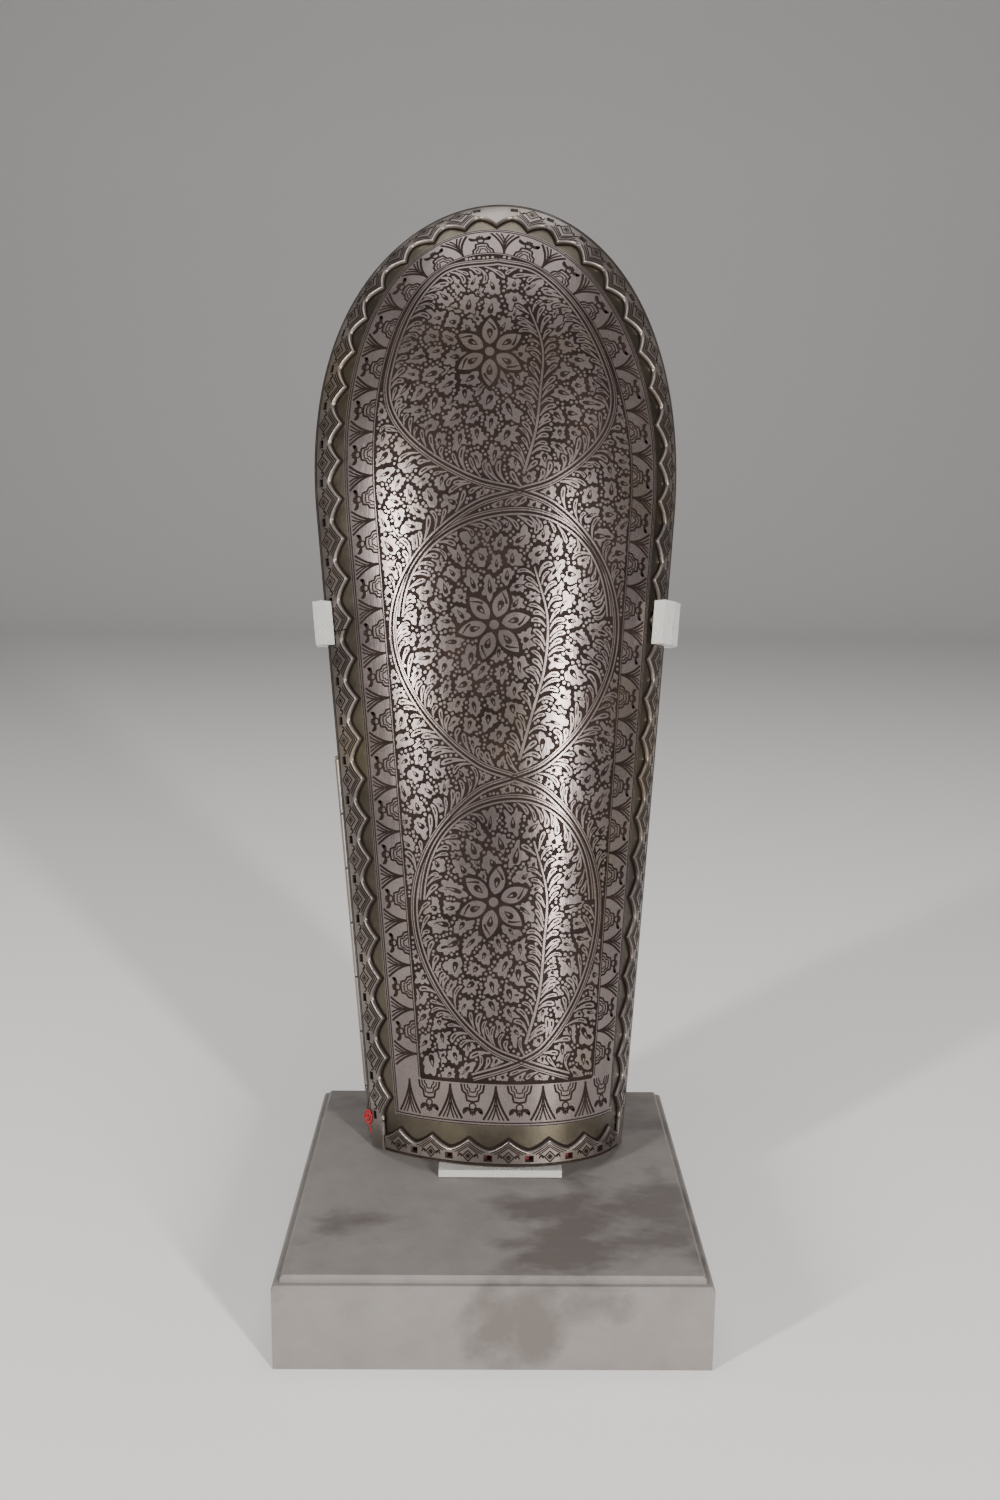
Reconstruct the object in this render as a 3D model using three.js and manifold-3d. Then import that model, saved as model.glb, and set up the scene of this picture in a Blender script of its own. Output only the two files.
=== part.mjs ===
// A steel forearm guard with a scalloped border, two hinged wrist plates and a cloth lining,
// leaning back on a clear support that stands on a square display base.
// Millimetres, +Z up, the origin at the centre of the base's underside, the front towards -Y.
import * as THREE from "three";
import { mergeVertices } from "three/addons/utils/BufferGeometryUtils.js";
import Module from "manifold-3d";

// Main plate
const plateLength = 344; // wrist edge to the tip of the elbow end
const domeLength = 114; // the rounded elbow end, out of that length
const wristHalfWidth = 44.8;
const elbowHalfWidth = 64.5; // half-width of the straight sides, carried on to where the dome starts
const wristDepth = 30.5; // how far the rim lies behind the ridge at the wrist edge
const elbowDepth = 28; // and at the tip of the elbow end
const rimRoundness = 0.945; // share of a full quarter ellipse that the section turns through
const ridgeShift = 8; // the ridge lies this far to the wearer's side of the middle
const endBow = 2.9; // how far both ends of the plate fall back from a straight line
const plateWall = 1.2;

// Border strips
const stripWall = 1.2;
const stripGap = 0.3; // between a strip and the plate under it
const stripNarrow = 8.2; // rim to the bottom of a scallop
const stripWide = 13.2; // rim to the tip of a scallop
const wristStripNarrow = 5.6; // the same two for the strip along the wrist edge
const wristStripWide = 9.4;
const scallopsPerSide = 25.5; // from the wrist corner to the tip of the elbow end
const scallopsAtWrist = 7;
const seamScallop = 12.25; // scallops from the wrist end to where the crown strip meets a side strip
const cornerPlain = 12; // plain stretch of each side strip beside the wrist strip
const tipSharpness = 1.5; // how hollow a scallop's sides are
const stripJoint = 0.4; // gap where two strips meet
const holeWidth = 2.2; // square stitch holes for the lining
const holeInset = 4.1; // from the rim to a hole's centre
const wristHoleInset = 3.0; // and from the wrist edge

// Lining
const liningWall = 2.3;
const liningGap = 0.4;
const liningInset = 6.6; // from the rim to the lining's edge
const liningDrop = 1.0; // how far its middle shows below the wrist edge
const liningRise = 2.4; // how far its lower corners lie above its middle

// Hinges and wrist plates
const knuckleCount = 6;
const knuckleLength = 20;
const knuckleGap = 0.35;
const knuckleRadius = 1.7;
const pinRadius = 0.8;
const pinClearance = 0.2;
const pinHeadRadius = 1.7;
const pinHeadLength = 1.0;
const hingeStart = 21.6; // the lowest knuckle's end above the wrist edge
const hingeReach = 2.3; // rim to the pin's line, along the plate
const hingeSink = 0.6; // the pin's line below the plate's outer face
const leafWall = 0.8;
const leafGap = 0.35; // between the fixed leaf and the plate above it
const leafWidth = 3;
const wingWall = 1.1; // a wrist plate's own wall
const wingSink = 0.15; // its outer face lies this far inside the knuckles' outside
const wingFoot = 3; // its lower edge above the wrist edge, at the hinge
const wingWidth = 46; // round its curve, pin to free edge
const wingRadius = 44;
const wingFlare = 6; // degrees that a wrist plate first leans outward
const wingLowEnd = 9; // how much the lower edge rises towards the free edge
const wingHighEnd = 26; // how much the upper edge falls towards the free edge

// Display base and clear support
const baseWidth = 135;
const baseHeight = 29.8;
const baseStep = 2.4; // inset of the raised top panel
const baseStepHeight = 2.2;
const baseBevel = 0.9;
const lean = 11; // degrees that the guard leans back
const guardTurn = 3; // degrees that it is turned on the base, its right side back
const ridgeSetback = 56; // the ridge's foot behind the base's front edge
const guardShift = 3.4; // sideways place of the guard on the base
const seatGap = 0.3;
const supportWall = 3.2;
const supportWidth = 36;
const supportFootWidth = 43;
const supportFootShift = 2.5; // sideways place of the foot on the base
const supportFootLength = 38;
const supportFootSetback = 62.5; // the foot's front edge behind the base's front edge
const supportFootWall = 2.6;
const clipHeight = 190; // middle of the clip bar, along the plate
const clipTall = 15.6;
const clipWall = 4.4;
const clipBarGap = 1.2; // between the rim's outer corner and the clip bar behind it
const clipGap = 0.4; // between a clip and the strip that it holds
const leftTip = 5; // how far each clip's tip reaches over the strip
const rightTip = 13;

// Mesh steps
const plateColumns = 20;
const plateRows = 8;
const domeRows = 10;
const liningColumns = 10;
const wingColumns = 10;
const wingRows = 5;
const barrelSides = 10;

const wasm = await Module();
wasm.setup();

const straightLength = plateLength - domeLength;
const radians = THREE.MathUtils.degToRad;
const vec = (x, y, z) => new THREE.Vector3(x, y, z);

// The plate's outer face

// Half-width of the straight sides, carried on past the dome's start.
function sideHalfWidth(w) {
  return THREE.MathUtils.lerp(wristHalfWidth, elbowHalfWidth, w / straightLength);
}

// How far the rim lies behind the ridge.
function rimDepth(w) {
  return THREE.MathUtils.lerp(wristDepth, elbowDepth, w / plateLength);
}

function domeShare(w) {
  return Math.max(0, w - straightLength) / domeLength;
}

// How far the face has fallen back at a share r of the way from the ridge to the rim.
function fallBack(r) {
  const turned = 1 - Math.sqrt(Math.max(0, 1 - (rimRoundness * r) ** 2));
  return turned / (1 - Math.sqrt(1 - rimRoundness ** 2));
}

// A point of the outer face from its plan place: u to the right, w up from the wrist edge.
function facePoint(u, w) {
  const half = sideHalfWidth(w);
  const x = u / half;
  const shifted = x - (ridgeShift / half) * (1 - x * x);
  const r = Math.hypot(shifted, domeShare(w));
  const bow = endBow * ((2 * w) / plateLength - 1) ** 2;
  return vec(u, rimDepth(w) * fallBack(r) + bow, w);
}

// The outward normal there, which points to the front.
function faceNormal(u, w) {
  const e = 0.05;
  const across = facePoint(u + e, w).sub(facePoint(u - e, w));
  const up = facePoint(u, w + e).sub(facePoint(u, w - e));
  return across.cross(up).normalize();
}

function offsetPoint({ u, w }, out) {
  return facePoint(u, w).addScaledVector(faceNormal(u, w), out);
}

// Plan place of the rim at a share of the way from the wrist corner to the dome's tip.
const rimTable = (() => {
  const steps = 400;
  const table = [{ length: 0, u: wristHalfWidth, w: 0 }];
  for (let i = 1; i <= 2 * steps; i++) {
    const turn = ((i - steps) / steps) * (Math.PI / 2);
    const w = i <= steps ? (straightLength * i) / steps : straightLength + domeLength * Math.sin(turn);
    const u = sideHalfWidth(w) * (i <= steps ? 1 : Math.cos(turn));
    const last = table[i - 1];
    table.push({ length: last.length + Math.hypot(u - last.u, w - last.w), u, w });
  }
  return table;
})();
const rimLength = rimTable[rimTable.length - 1].length;

function rimAt(length) {
  let i = 1;
  while (i < rimTable.length - 1 && rimTable[i].length < length) i++;
  const a = rimTable[i - 1];
  const b = rimTable[i];
  const t = (length - a.length) / (b.length - a.length);
  const place = vec(THREE.MathUtils.lerp(a.u, b.u, t), THREE.MathUtils.lerp(a.w, b.w, t), 0);
  const along = vec(b.u - a.u, b.w - a.w, 0).normalize();
  return { place, inward: vec(-along.y, along.x, 0) };
}

// Plan place at a distance over the face from a start, in a plan direction.
function walk(start, direction, distance) {
  if (distance === 0) return start.clone();
  const steps = 14;
  const step = distance / steps;
  const at = start.clone();
  for (let i = 0; i < steps; i++) {
    const near = facePoint(at.x, at.y);
    const ahead = at.clone().addScaledVector(direction, step);
    const stretch = facePoint(ahead.x, ahead.y).sub(near).length() / Math.abs(step);
    at.addScaledVector(direction, step / stretch);
  }
  return at;
}

// Plan place at a distance inward from the rim; side is -1 for the left and 1 for the right.
function insetPlace(side, length, distance) {
  const mirror = vec(side, 1, 1);
  const { place, inward } = rimAt(length);
  const at = walk(place.multiply(mirror), inward.multiply(mirror), distance);
  return { u: at.x, w: at.y };
}

// Solids

// A closed shell from a grid of plan places, between two offsets from the outer face.
function shell(rows, outer, inner, isOpen) {
  const grid = (out) => rows.map((row) => row.map((place) => offsetPoint(place, out)));
  return closedShell(grid(outer), grid(inner), isOpen);
}

// A closed solid between two grids of points, the first one facing out; isOpen leaves cells open.
function closedShell(front, back, isOpen = () => false) {
  const rowCount = front.length;
  const columnCount = front[0].length;
  const points = [...front.flat(), ...back.flat()];
  const size = rowCount * columnCount;
  const index = [];
  const quad = (a, b, c, d) => index.push(a, b, c, a, c, d);
  const rimWall = (loop) => loop.slice(1).forEach((b, k) => quad(b, loop[k], size + loop[k], size + b));
  for (let j = 0; j < rowCount - 1; j++)
    for (let i = 0; i < columnCount - 1; i++) {
      const a = j * columnCount + i;
      const above = a + columnCount;
      if (isOpen(j, i)) {
        rimWall([a, above, above + 1, a + 1, a]);
        continue;
      }
      quad(a, a + 1, above + 1, above);
      quad(size + a, size + above, size + above + 1, size + a + 1);
    }
  const lastRow = (rowCount - 1) * columnCount;
  rimWall(Array.from({ length: columnCount }, (_, i) => i));
  rimWall(Array.from({ length: rowCount }, (_, j) => j * columnCount + columnCount - 1));
  rimWall(Array.from({ length: columnCount }, (_, i) => lastRow + columnCount - 1 - i));
  rimWall(Array.from({ length: rowCount }, (_, j) => lastRow - j * columnCount));
  return solid(points, index);
}

// A manifold solid from points and triangles, with shared points merged and flat triangles dropped.
function solid(points, index) {
  const geometry = new THREE.BufferGeometry().setFromPoints(points);
  geometry.setIndex(index);
  return solidOf(geometry);
}

function solidOf(source) {
  const geometry = source.clone();
  geometry.deleteAttribute("normal");
  geometry.deleteAttribute("uv");
  const merged = mergeVertices(geometry, 1e-4);
  const kept = [];
  const all = merged.index.array;
  for (let i = 0; i < all.length; i += 3) {
    const [a, b, c] = [all[i], all[i + 1], all[i + 2]];
    if (a !== b && b !== c && c !== a) kept.push(a, b, c);
  }
  return new wasm.Manifold(
    new wasm.Mesh({
      numProp: 3,
      vertProperties: new Float32Array(merged.attributes.position.array),
      triVerts: new Uint32Array(kept),
    }),
  );
}

// A cylinder from one point to another.
function rod(from, to, radius) {
  const along = to.clone().sub(from);
  const geometry = new THREE.CylinderGeometry(radius, radius, along.length(), barrelSides);
  const turn = new THREE.Quaternion().setFromUnitVectors(vec(0, 1, 0), along.clone().normalize());
  const middle = from.clone().addScaledVector(along, 0.5);
  geometry.applyMatrix4(new THREE.Matrix4().compose(middle, turn, vec(1, 1, 1)));
  return solidOf(geometry);
}

function joined(solids) {
  return solids.reduce((a, b) => a.add(b));
}

function meshOf(name, made, material) {
  const mesh = made.getMesh();
  const geometry = new THREE.BufferGeometry();
  geometry.setAttribute("position", new THREE.BufferAttribute(new Float32Array(mesh.vertProperties), 3));
  geometry.setIndex(new THREE.BufferAttribute(new Uint32Array(mesh.triVerts), 1));
  geometry.computeVertexNormals();
  const named = new THREE.Mesh(geometry, material);
  named.name = name;
  return named;
}

// Materials
const steel = new THREE.MeshStandardMaterial({ color: 0x9a918c, roughness: 0.36, metalness: 1 });
const darkSteel = new THREE.MeshStandardMaterial({ color: 0x6f6862, roughness: 0.45, metalness: 1 });
const crimson = new THREE.MeshStandardMaterial({ color: 0x7a1418, roughness: 0.9, metalness: 0 });
const clear = new THREE.MeshStandardMaterial({ color: 0xb9b6b2, roughness: 0.25, metalness: 0 });
const greyPaint = new THREE.MeshStandardMaterial({ color: 0x5d5957, roughness: 0.6, metalness: 0 });

// Main plate, border strips and lining

// Rows of plan places over the whole plate, inset by a plan margin; low gives the lower edge's
// height at a share of the way from the middle to a side.
function plateGrid(columns, margin, low) {
  const shares = Array.from({ length: columns + 1 }, (_, i) => (2 * i) / columns - 1);
  const row = (w, half) => shares.map((share) => ({ u: half * share, w: w(share) }));
  const rows = [];
  for (let j = 0; j < plateRows; j++) {
    const height = (share) => THREE.MathUtils.lerp(low(Math.abs(share)), straightLength, j / plateRows);
    rows.push(row(height, sideHalfWidth(height(1)) - margin));
  }
  for (let j = 0; j <= domeRows; j++) {
    const turn = ((j / domeRows) * Math.PI) / 2;
    const w = straightLength + (domeLength - margin) * Math.sin(turn);
    rows.push(row(() => w, (sideHalfWidth(w) - margin) * Math.cos(turn)));
  }
  return rows;
}

const sideScallop = (rimLength - cornerPlain) / scallopsPerSide;

// How far a strip's inner edge reaches, counted in scallops with a tip at each whole number.
function scallopReach(count, narrow = stripNarrow, wide = stripWide) {
  const fromTip = Math.abs(count - Math.round(count)) * 2;
  return narrow + (wide - narrow) * (1 - fromTip) ** tipSharpness;
}

// Distances from the rim to the strip's four lines of points, with a hole between the middle two.
const acrossStrip = (reach, inset = holeInset) => [0, inset - holeWidth / 2, inset + holeWidth / 2, reach];

// Places along a strip, counted in scallops: its ends, each tip, and both sides of each hole.
function stations(from, to, pitch) {
  const half = holeWidth / 2 / pitch;
  const inside = [];
  for (let n = Math.floor(from); n <= to; n++)
    inside.push({ place: n - half, hole: n }, { place: n + half, hole: n }, { place: n + 0.5 });
  return [{ place: from }, ...inside.filter(({ place }) => place > from && place < to), { place: to }];
}

// A strip's rows of plan places, the rows beside a hole marked with that hole's number.
function rimStripRows(side, from, to) {
  const joint = stripJoint / 2 / sideScallop;
  return stations(from + joint, to - joint, sideScallop).map(({ place, hole }) => {
    const length = cornerPlain + place * sideScallop;
    const places = acrossStrip(scallopReach(place + 0.5)).map((inward) => insetPlace(side, length, inward));
    return { places, hole };
  });
}

// A side strip starts at the wrist edge with a plain stretch that is cut level with that edge.
function sideStripRows(side) {
  const plainEnd = cornerPlain - holeWidth - 2 * stripJoint;
  const plain = [0, plainEnd / 2].map((w) => {
    const start = vec(side * sideHalfWidth(w), w, 0);
    const places = acrossStrip(stripNarrow).map((inward) => ({ u: walk(start, vec(-side, 0, 0), inward).x, w }));
    return { places };
  });
  const rows = [...plain, ...rimStripRows(side, (plainEnd - cornerPlain) / sideScallop, seamScallop)];
  return side < 0 ? rows : mirrored(rows);
}

const mirrored = (rows) => rows.map(({ places, hole }) => ({ places: [...places].reverse(), hole }));

function crownRows() {
  const half = (side) => rimStripRows(side, seamScallop, scallopsPerSide).slice(0, -1);
  const places = acrossStrip(scallopReach(scallopsPerSide + 0.5)).map((inward) => {
    const down = walk(vec(0, plateLength, 0), vec(0, -1, 0), inward);
    return { u: 0, w: down.y };
  });
  return [...half(-1), { places }, ...half(1).reverse()];
}

// The way over the face along the wrist edge, from its left corner.
const wristTable = (() => {
  const steps = 400;
  const table = [{ length: 0, u: -wristHalfWidth }];
  for (let i = 1; i <= steps; i++) {
    const u = wristHalfWidth * ((2 * i) / steps - 1);
    const last = table[i - 1];
    table.push({ length: last.length + facePoint(u, 0).distanceTo(facePoint(last.u, 0)), u });
  }
  return table;
})();
const wristArc = wristTable[wristTable.length - 1].length;

function wristU(length) {
  const i = Math.max(1, wristTable.findIndex((row) => row.length >= length));
  const [a, b] = [wristTable[i - 1], wristTable[i]];
  return THREE.MathUtils.mapLinear(length, a.length, b.length, a.u, b.u);
}

const wristStart = stripNarrow + stripJoint;
const wristScallop = (wristArc - 2 * wristStart) / scallopsAtWrist;

function wristStripRows() {
  const rows = stations(0, scallopsAtWrist, wristScallop).map(({ place, hole }) => {
    const u = wristU(wristStart + place * wristScallop);
    const reach = scallopReach(place + 0.5, wristStripNarrow, wristStripWide);
    return { places: acrossStrip(reach, wristHoleInset).map((w) => ({ u, w })), hole };
  });
  return mirrored(rows);
}

const isHole = (rows) => (j) => rows[j].hole !== undefined && rows[j].hole === rows[j + 1].hole;

const stripTop = stripGap + stripWall;
const strip = (rows) =>
  shell(rows.map(({ places }) => places), stripTop, stripGap, (j, i) => i === 1 && isHole(rows)(j));

const strips = {
  border_left: sideStripRows(-1),
  border_right: sideStripRows(1),
  border_crown: crownRows(),
  border_wrist: wristStripRows(),
};

// The stitch holes pass on through the plate.
function stitchHoles() {
  return Object.values(strips).flatMap((rows) =>
    rows.flatMap(({ places }, j) => {
      if (j === rows.length - 1 || !isHole(rows)(j)) return [];
      return [shell([places.slice(1, 3), rows[j + 1].places.slice(1, 3)], plateWall, -2 * plateWall)];
    }),
  );
}

const holes = wasm.Manifold.compose(stitchHoles());
const mainPlate = shell(plateGrid(plateColumns, 0, () => 0), 0, -plateWall).subtract(holes);
const liningTop = -plateWall - liningGap;
const liningRows = plateGrid(liningColumns, liningInset, (share) => liningRise * share * share - liningDrop);
const lining = shell(liningRows, liningTop, liningTop - liningWall);

// Hinges and wrist plates

const hingeLength = knuckleCount * knuckleLength;

// One side's hinge in the guard's own frame: the pin's line and two directions across it.
function hingeFrame(side) {
  const [foot, top] = [hingeStart, hingeStart + hingeLength].map((w) => {
    const u = side * sideHalfWidth(w);
    const past = walk(vec(u, w, 0), vec(side, 0, 0), hingeReach);
    return facePoint(past.x, w).addScaledVector(faceNormal(past.x, w), -hingeSink);
  });
  const axis = top.sub(foot).normalize();
  const outward = vec(side, 0, 0).addScaledVector(axis, -side * axis.x).normalize();
  const backward = vec(0, 1, 0).addScaledVector(axis, -axis.y).normalize();
  const at = (along, out, back) =>
    foot.clone().addScaledVector(axis, along).addScaledVector(outward, out).addScaledVector(backward, back);
  return { side, axis, foot, at };
}

// Every second knuckle from the given one, shortened at its inner ends and at the hinge's outer ends.
function barrels(hinge, first, radius, innerSpare, outerSpare) {
  const made = [];
  for (let n = first; n < knuckleCount; n += 2) {
    const low = n * knuckleLength + (n > 0 ? innerSpare : outerSpare);
    const high = (n + 1) * knuckleLength - (n < knuckleCount - 1 ? innerSpare : outerSpare);
    made.push(rod(hinge.at(low, 0, 0), hinge.at(high, 0, 0), radius));
  }
  return joined(made);
}

const halfGap = knuckleGap / 2;
const knuckles = (hinge, first) => barrels(hinge, first, knuckleRadius, halfGap, 0);
const knuckleRoom = (hinge, first) => barrels(hinge, first, knuckleRadius + knuckleGap, -halfGap, -halfGap);

// Room for the pin and, beyond the outer knuckles, for its heads.
function pinRoom(hinge) {
  const past = pinHeadLength + 3 * pinClearance;
  const bore = rod(hinge.at(-past, 0, 0), hinge.at(hingeLength + past, 0, 0), pinRadius + pinClearance);
  const headRoom = (from, to) => rod(hinge.at(from, 0, 0), hinge.at(to, 0, 0), pinHeadRadius + pinClearance);
  return joined([bore, headRoom(-past, 0), headRoom(hingeLength, hingeLength + past)]);
}

// The fixed leaf lies under the plate's edge and carries the guard's knuckles.
function fixedLeaf(hinge) {
  const { side } = hinge;
  const rows = Array.from({ length: knuckleCount + 1 }, (_, j) => {
    const w = hingeStart + j * knuckleLength;
    const rim = vec(side * sideHalfWidth(w), w, 0);
    return [-hingeReach, 0, leafWidth].map((inward) => ({ u: walk(rim, vec(-side, 0, 0), inward).x, w }));
  });
  const facing = side < 0 ? rows : rows.map((row) => row.reverse());
  const top = -plateWall - leafGap;
  const leaf = shell(facing, top, top - leafWall);
  return leaf.add(knuckles(hinge, 0)).subtract(knuckleRoom(hinge, 1)).subtract(pinRoom(hinge));
}

// Stations round a wrist plate's curve, starting tangent to the outside of its knuckles.
function wingCurve() {
  const step = wingWidth / wingColumns;
  const half = wingWall / 2;
  const stations = [];
  let [out, back] = [knuckleRadius - wingSink - half, 0];
  for (let i = 0; i <= wingColumns; i++) {
    const heading = radians(wingFlare) - (step * i) / wingRadius;
    stations.push({ out, back, heading, share: i / wingColumns });
    const middle = heading - step / (2 * wingRadius);
    out += step * Math.sin(middle);
    back += step * Math.cos(middle);
  }
  return stations;
}

// A wrist plate is a curved wall, lower and upper edges drawn in towards its free edge.
function wristPlate(hinge) {
  const curve = wingCurve();
  const low = (share) => wingFoot - hingeStart + wingLowEnd * share * share;
  const high = (share) => hingeLength - wingHighEnd * THREE.MathUtils.smoothstep(share, 0, 1);
  const grid = (offset) =>
    Array.from({ length: wingRows + 1 }, (_, j) =>
      curve.map(({ out, back, heading, share }) => {
        const along = THREE.MathUtils.lerp(low(share), high(share), j / wingRows);
        return hinge.at(along, out + offset * Math.cos(heading), back - offset * Math.sin(heading));
      }),
    );
  const faces = [grid(wingWall / 2), grid(-wingWall / 2)];
  const wall = hinge.side > 0 ? closedShell(faces[0], faces[1]) : closedShell(faces[1], faces[0]);
  return wall.add(knuckles(hinge, 1)).subtract(knuckleRoom(hinge, 0)).subtract(pinRoom(hinge));
}

// The pin is peened at both ends.
function hingePin(hinge) {
  const [low, high] = [-pinClearance, hingeLength + pinClearance];
  const headLow = rod(hinge.at(low - pinHeadLength, 0, 0), hinge.at(low, 0, 0), pinHeadRadius);
  const headHigh = rod(hinge.at(high, 0, 0), hinge.at(high + pinHeadLength, 0, 0), pinHeadRadius);
  const half = pinHeadLength / 2;
  return rod(hinge.at(low - half, 0, 0), hinge.at(high + half, 0, 0), pinRadius).add(headLow).add(headHigh);
}

// Display base and clear support

// A solid of stacked squares, each level giving its height and half-width.
function squareStack(levels) {
  const corners = [[-1, -1], [1, -1], [1, 1], [-1, 1]];
  const points = levels.flatMap(({ z, half }) => corners.map(([x, y]) => vec(x * half, y * half, z)));
  const index = [0, 2, 1, 0, 3, 2];
  for (let level = 0; level < levels.length - 1; level++)
    for (let i = 0; i < 4; i++) {
      const a = level * 4 + i;
      const b = level * 4 + ((i + 1) % 4);
      index.push(a, b, b + 4, a, b + 4, a + 4);
    }
  const top = (levels.length - 1) * 4;
  index.push(top, top + 1, top + 2, top, top + 2, top + 3);
  return solid(points, index);
}

const baseHalf = baseWidth / 2;
const ledge = baseHeight - baseStepHeight;
const displayBase = squareStack([
  { z: 0, half: baseHalf },
  { z: ledge - baseBevel, half: baseHalf },
  { z: ledge, half: baseHalf - baseBevel },
  { z: ledge, half: baseHalf - baseStep },
  { z: baseHeight - baseBevel, half: baseHalf - baseStep },
  { z: baseHeight, half: baseHalf - baseStep - baseBevel },
]);

// The guard leans back with its rear wrist corners just above the base.
const cornerDepth = offsetPoint({ u: wristHalfWidth, w: 0 }, -plateWall).y;
const guardHeight = baseHeight + seatGap + cornerDepth * Math.sin(radians(lean));
const guard = new THREE.Group();
guard.rotation.set(-radians(lean), 0, radians(guardTurn), "ZYX");
guard.position.set(guardShift, ridgeSetback - baseHalf, guardHeight);
guard.updateMatrixWorld(true);

// An outline in a plane, drawn out to both sides of it.
function prism(outline, depth) {
  const shape = new THREE.Shape(outline.map(([x, y]) => new THREE.Vector2(x, y)));
  const geometry = new THREE.ExtrudeGeometry(shape, { depth, bevelEnabled: false });
  return geometry.translate(0, 0, -depth / 2);
}

const clipBarFront = facePoint(sideHalfWidth(clipHeight), clipHeight).y + clipBarGap;

// A foot on the base and an upright that leans as the guard does, joined where they meet.
function footedUpright() {
  const back = clipBarFront - seatGap;
  const front = back - supportWall;
  const footMiddle = baseHeight + seatGap + supportFootWall / 2;
  // Where the leaning plane at this depth meets the middle of the foot
  const lowEnd = (depth) =>
    (footMiddle - guardHeight + depth * Math.sin(radians(lean))) / Math.cos(radians(lean));
  const highEnd = clipHeight + clipTall / 2;
  const outline = [[front, lowEnd(front)], [back, lowEnd(back)], [back, highEnd], [front, highEnd]];
  const upright = prism(outline, supportWidth);
  upright.applyMatrix4(new THREE.Matrix4().makeBasis(vec(0, 1, 0), vec(0, 0, 1), vec(1, 0, 0)));
  upright.applyMatrix4(guard.matrixWorld);
  const foot = new THREE.BoxGeometry(supportFootWidth, supportFootLength, supportFootWall);
  foot.translate(supportFootShift, supportFootSetback + supportFootLength / 2 - baseHalf, footMiddle);
  return solidOf(foot).add(solidOf(upright));
}

// The bar behind the rim, each end bent forward round the plate's edge and over its strip.
function clipBar() {
  const near = stripTop + clipGap;
  const far = near + clipWall;
  // From the bar's front, round the inside of the hook to its tip and back round the outside
  const hook = (side, tip) => {
    const rim = vec(side * sideHalfWidth(clipHeight), clipHeight, 0);
    const over = (inward, out) => {
      const { x, y } = offsetPoint({ u: walk(rim, vec(-side, 0, 0), inward).x, w: clipHeight }, out);
      return [x, y];
    };
    const inside = [0, tip / 2, tip].map((inward) => over(inward, near));
    const outside = [tip, tip / 2, 0].map((inward) => over(inward, far));
    return [[inside[0][0], clipBarFront], ...inside, ...outside, [outside[2][0], clipBarFront + clipWall]];
  };
  const geometry = prism([...hook(1, rightTip), ...hook(-1, leftTip).reverse()], clipTall);
  // The hooks lean as the plate's edges do.
  const slope = (elbowHalfWidth - wristHalfWidth) / straightLength;
  const position = geometry.attributes.position;
  for (let i = 0; i < position.count; i++)
    position.setX(i, position.getX(i) + Math.sign(position.getX(i)) * slope * position.getZ(i));
  return solidOf(geometry.translate(0, 0, clipHeight));
}

// Assembly
const root = new THREE.Group();
root.add(guard);
root.add(meshOf("display_base", displayBase, greyPaint));
root.add(meshOf("support_upright", footedUpright(), clear));
guard.add(meshOf("support_clips", clipBar(), clear));
guard.add(meshOf("main_plate", mainPlate, steel));
for (const [name, rows] of Object.entries(strips)) guard.add(meshOf(name, strip(rows), steel));
guard.add(meshOf("lining", lining, crimson));
for (const [name, side] of [["left", -1], ["right", 1]]) {
  const hinge = hingeFrame(side);
  guard.add(meshOf(`hinge_leaf_${name}`, fixedLeaf(hinge), darkSteel));
  guard.add(meshOf(`hinge_pin_${name}`, hingePin(hinge), darkSteel));
  guard.add(meshOf(`wrist_plate_${name}`, wristPlate(hinge), steel));
}

export default root;
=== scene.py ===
"""Looks of a steel arm guard with an etched arabesque, on a clear support and a painted base."""

import math

import bmesh
import bpy
import numpy as np
from mathutils import Matrix, Vector


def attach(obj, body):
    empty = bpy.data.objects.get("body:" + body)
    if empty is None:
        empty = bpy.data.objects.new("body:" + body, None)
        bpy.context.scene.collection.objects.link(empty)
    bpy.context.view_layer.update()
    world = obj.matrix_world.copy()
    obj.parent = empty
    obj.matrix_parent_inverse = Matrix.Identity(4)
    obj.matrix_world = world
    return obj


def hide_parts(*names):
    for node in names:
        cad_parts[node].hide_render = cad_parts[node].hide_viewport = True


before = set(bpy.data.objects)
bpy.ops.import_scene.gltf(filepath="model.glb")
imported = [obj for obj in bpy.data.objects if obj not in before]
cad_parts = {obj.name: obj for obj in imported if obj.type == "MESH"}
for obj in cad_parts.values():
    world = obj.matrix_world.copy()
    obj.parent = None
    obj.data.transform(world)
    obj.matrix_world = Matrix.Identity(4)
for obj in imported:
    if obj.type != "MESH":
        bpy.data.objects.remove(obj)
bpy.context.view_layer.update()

MM = 0.001
rng = np.random.default_rng(7)

# Sizes of the guard in millimetres, as the frame has them
LENGTH = 344.0
DOME = 114.0
STRAIGHT = LENGTH - DOME
WRIST_HALF = 44.8
ELBOW_HALF = 64.5
WRIST_DEPTH = 30.5
ELBOW_DEPTH = 28.0
ROUNDNESS = 0.945
RIDGE_SHIFT = 8.0
END_BOW = 2.9
WALL = 1.2
STRIP_GAP = 0.3
STRIP_TOP = STRIP_GAP + 1.2
STRIP_NARROW = 8.2
STRIP_WIDE = 13.2
WRIST_STRIP_NARROW = 5.6
WRIST_STRIP_WIDE = 9.4
SCALLOPS = 25.5
SCALLOPS_AT_WRIST = 7
SEAM_SCALLOP = 12.25
CORNER_PLAIN = 12.0
TIP_SHARPNESS = 1.5
STRIP_JOINT = 0.4
HOLE_WIDTH = 2.2
HOLE_INSET = 4.1
WRIST_HOLE_INSET = 3.0
LINING_OUTER = -WALL - 0.4
LINING_WALL = 2.3
LINING_INSET = 6.6
LINING_DROP = 1.0
LINING_RISE = 2.4
LOZENGE = 13.0
KNUCKLES = 6
KNUCKLE = 20.0
KNUCKLE_GAP = 0.35
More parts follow.
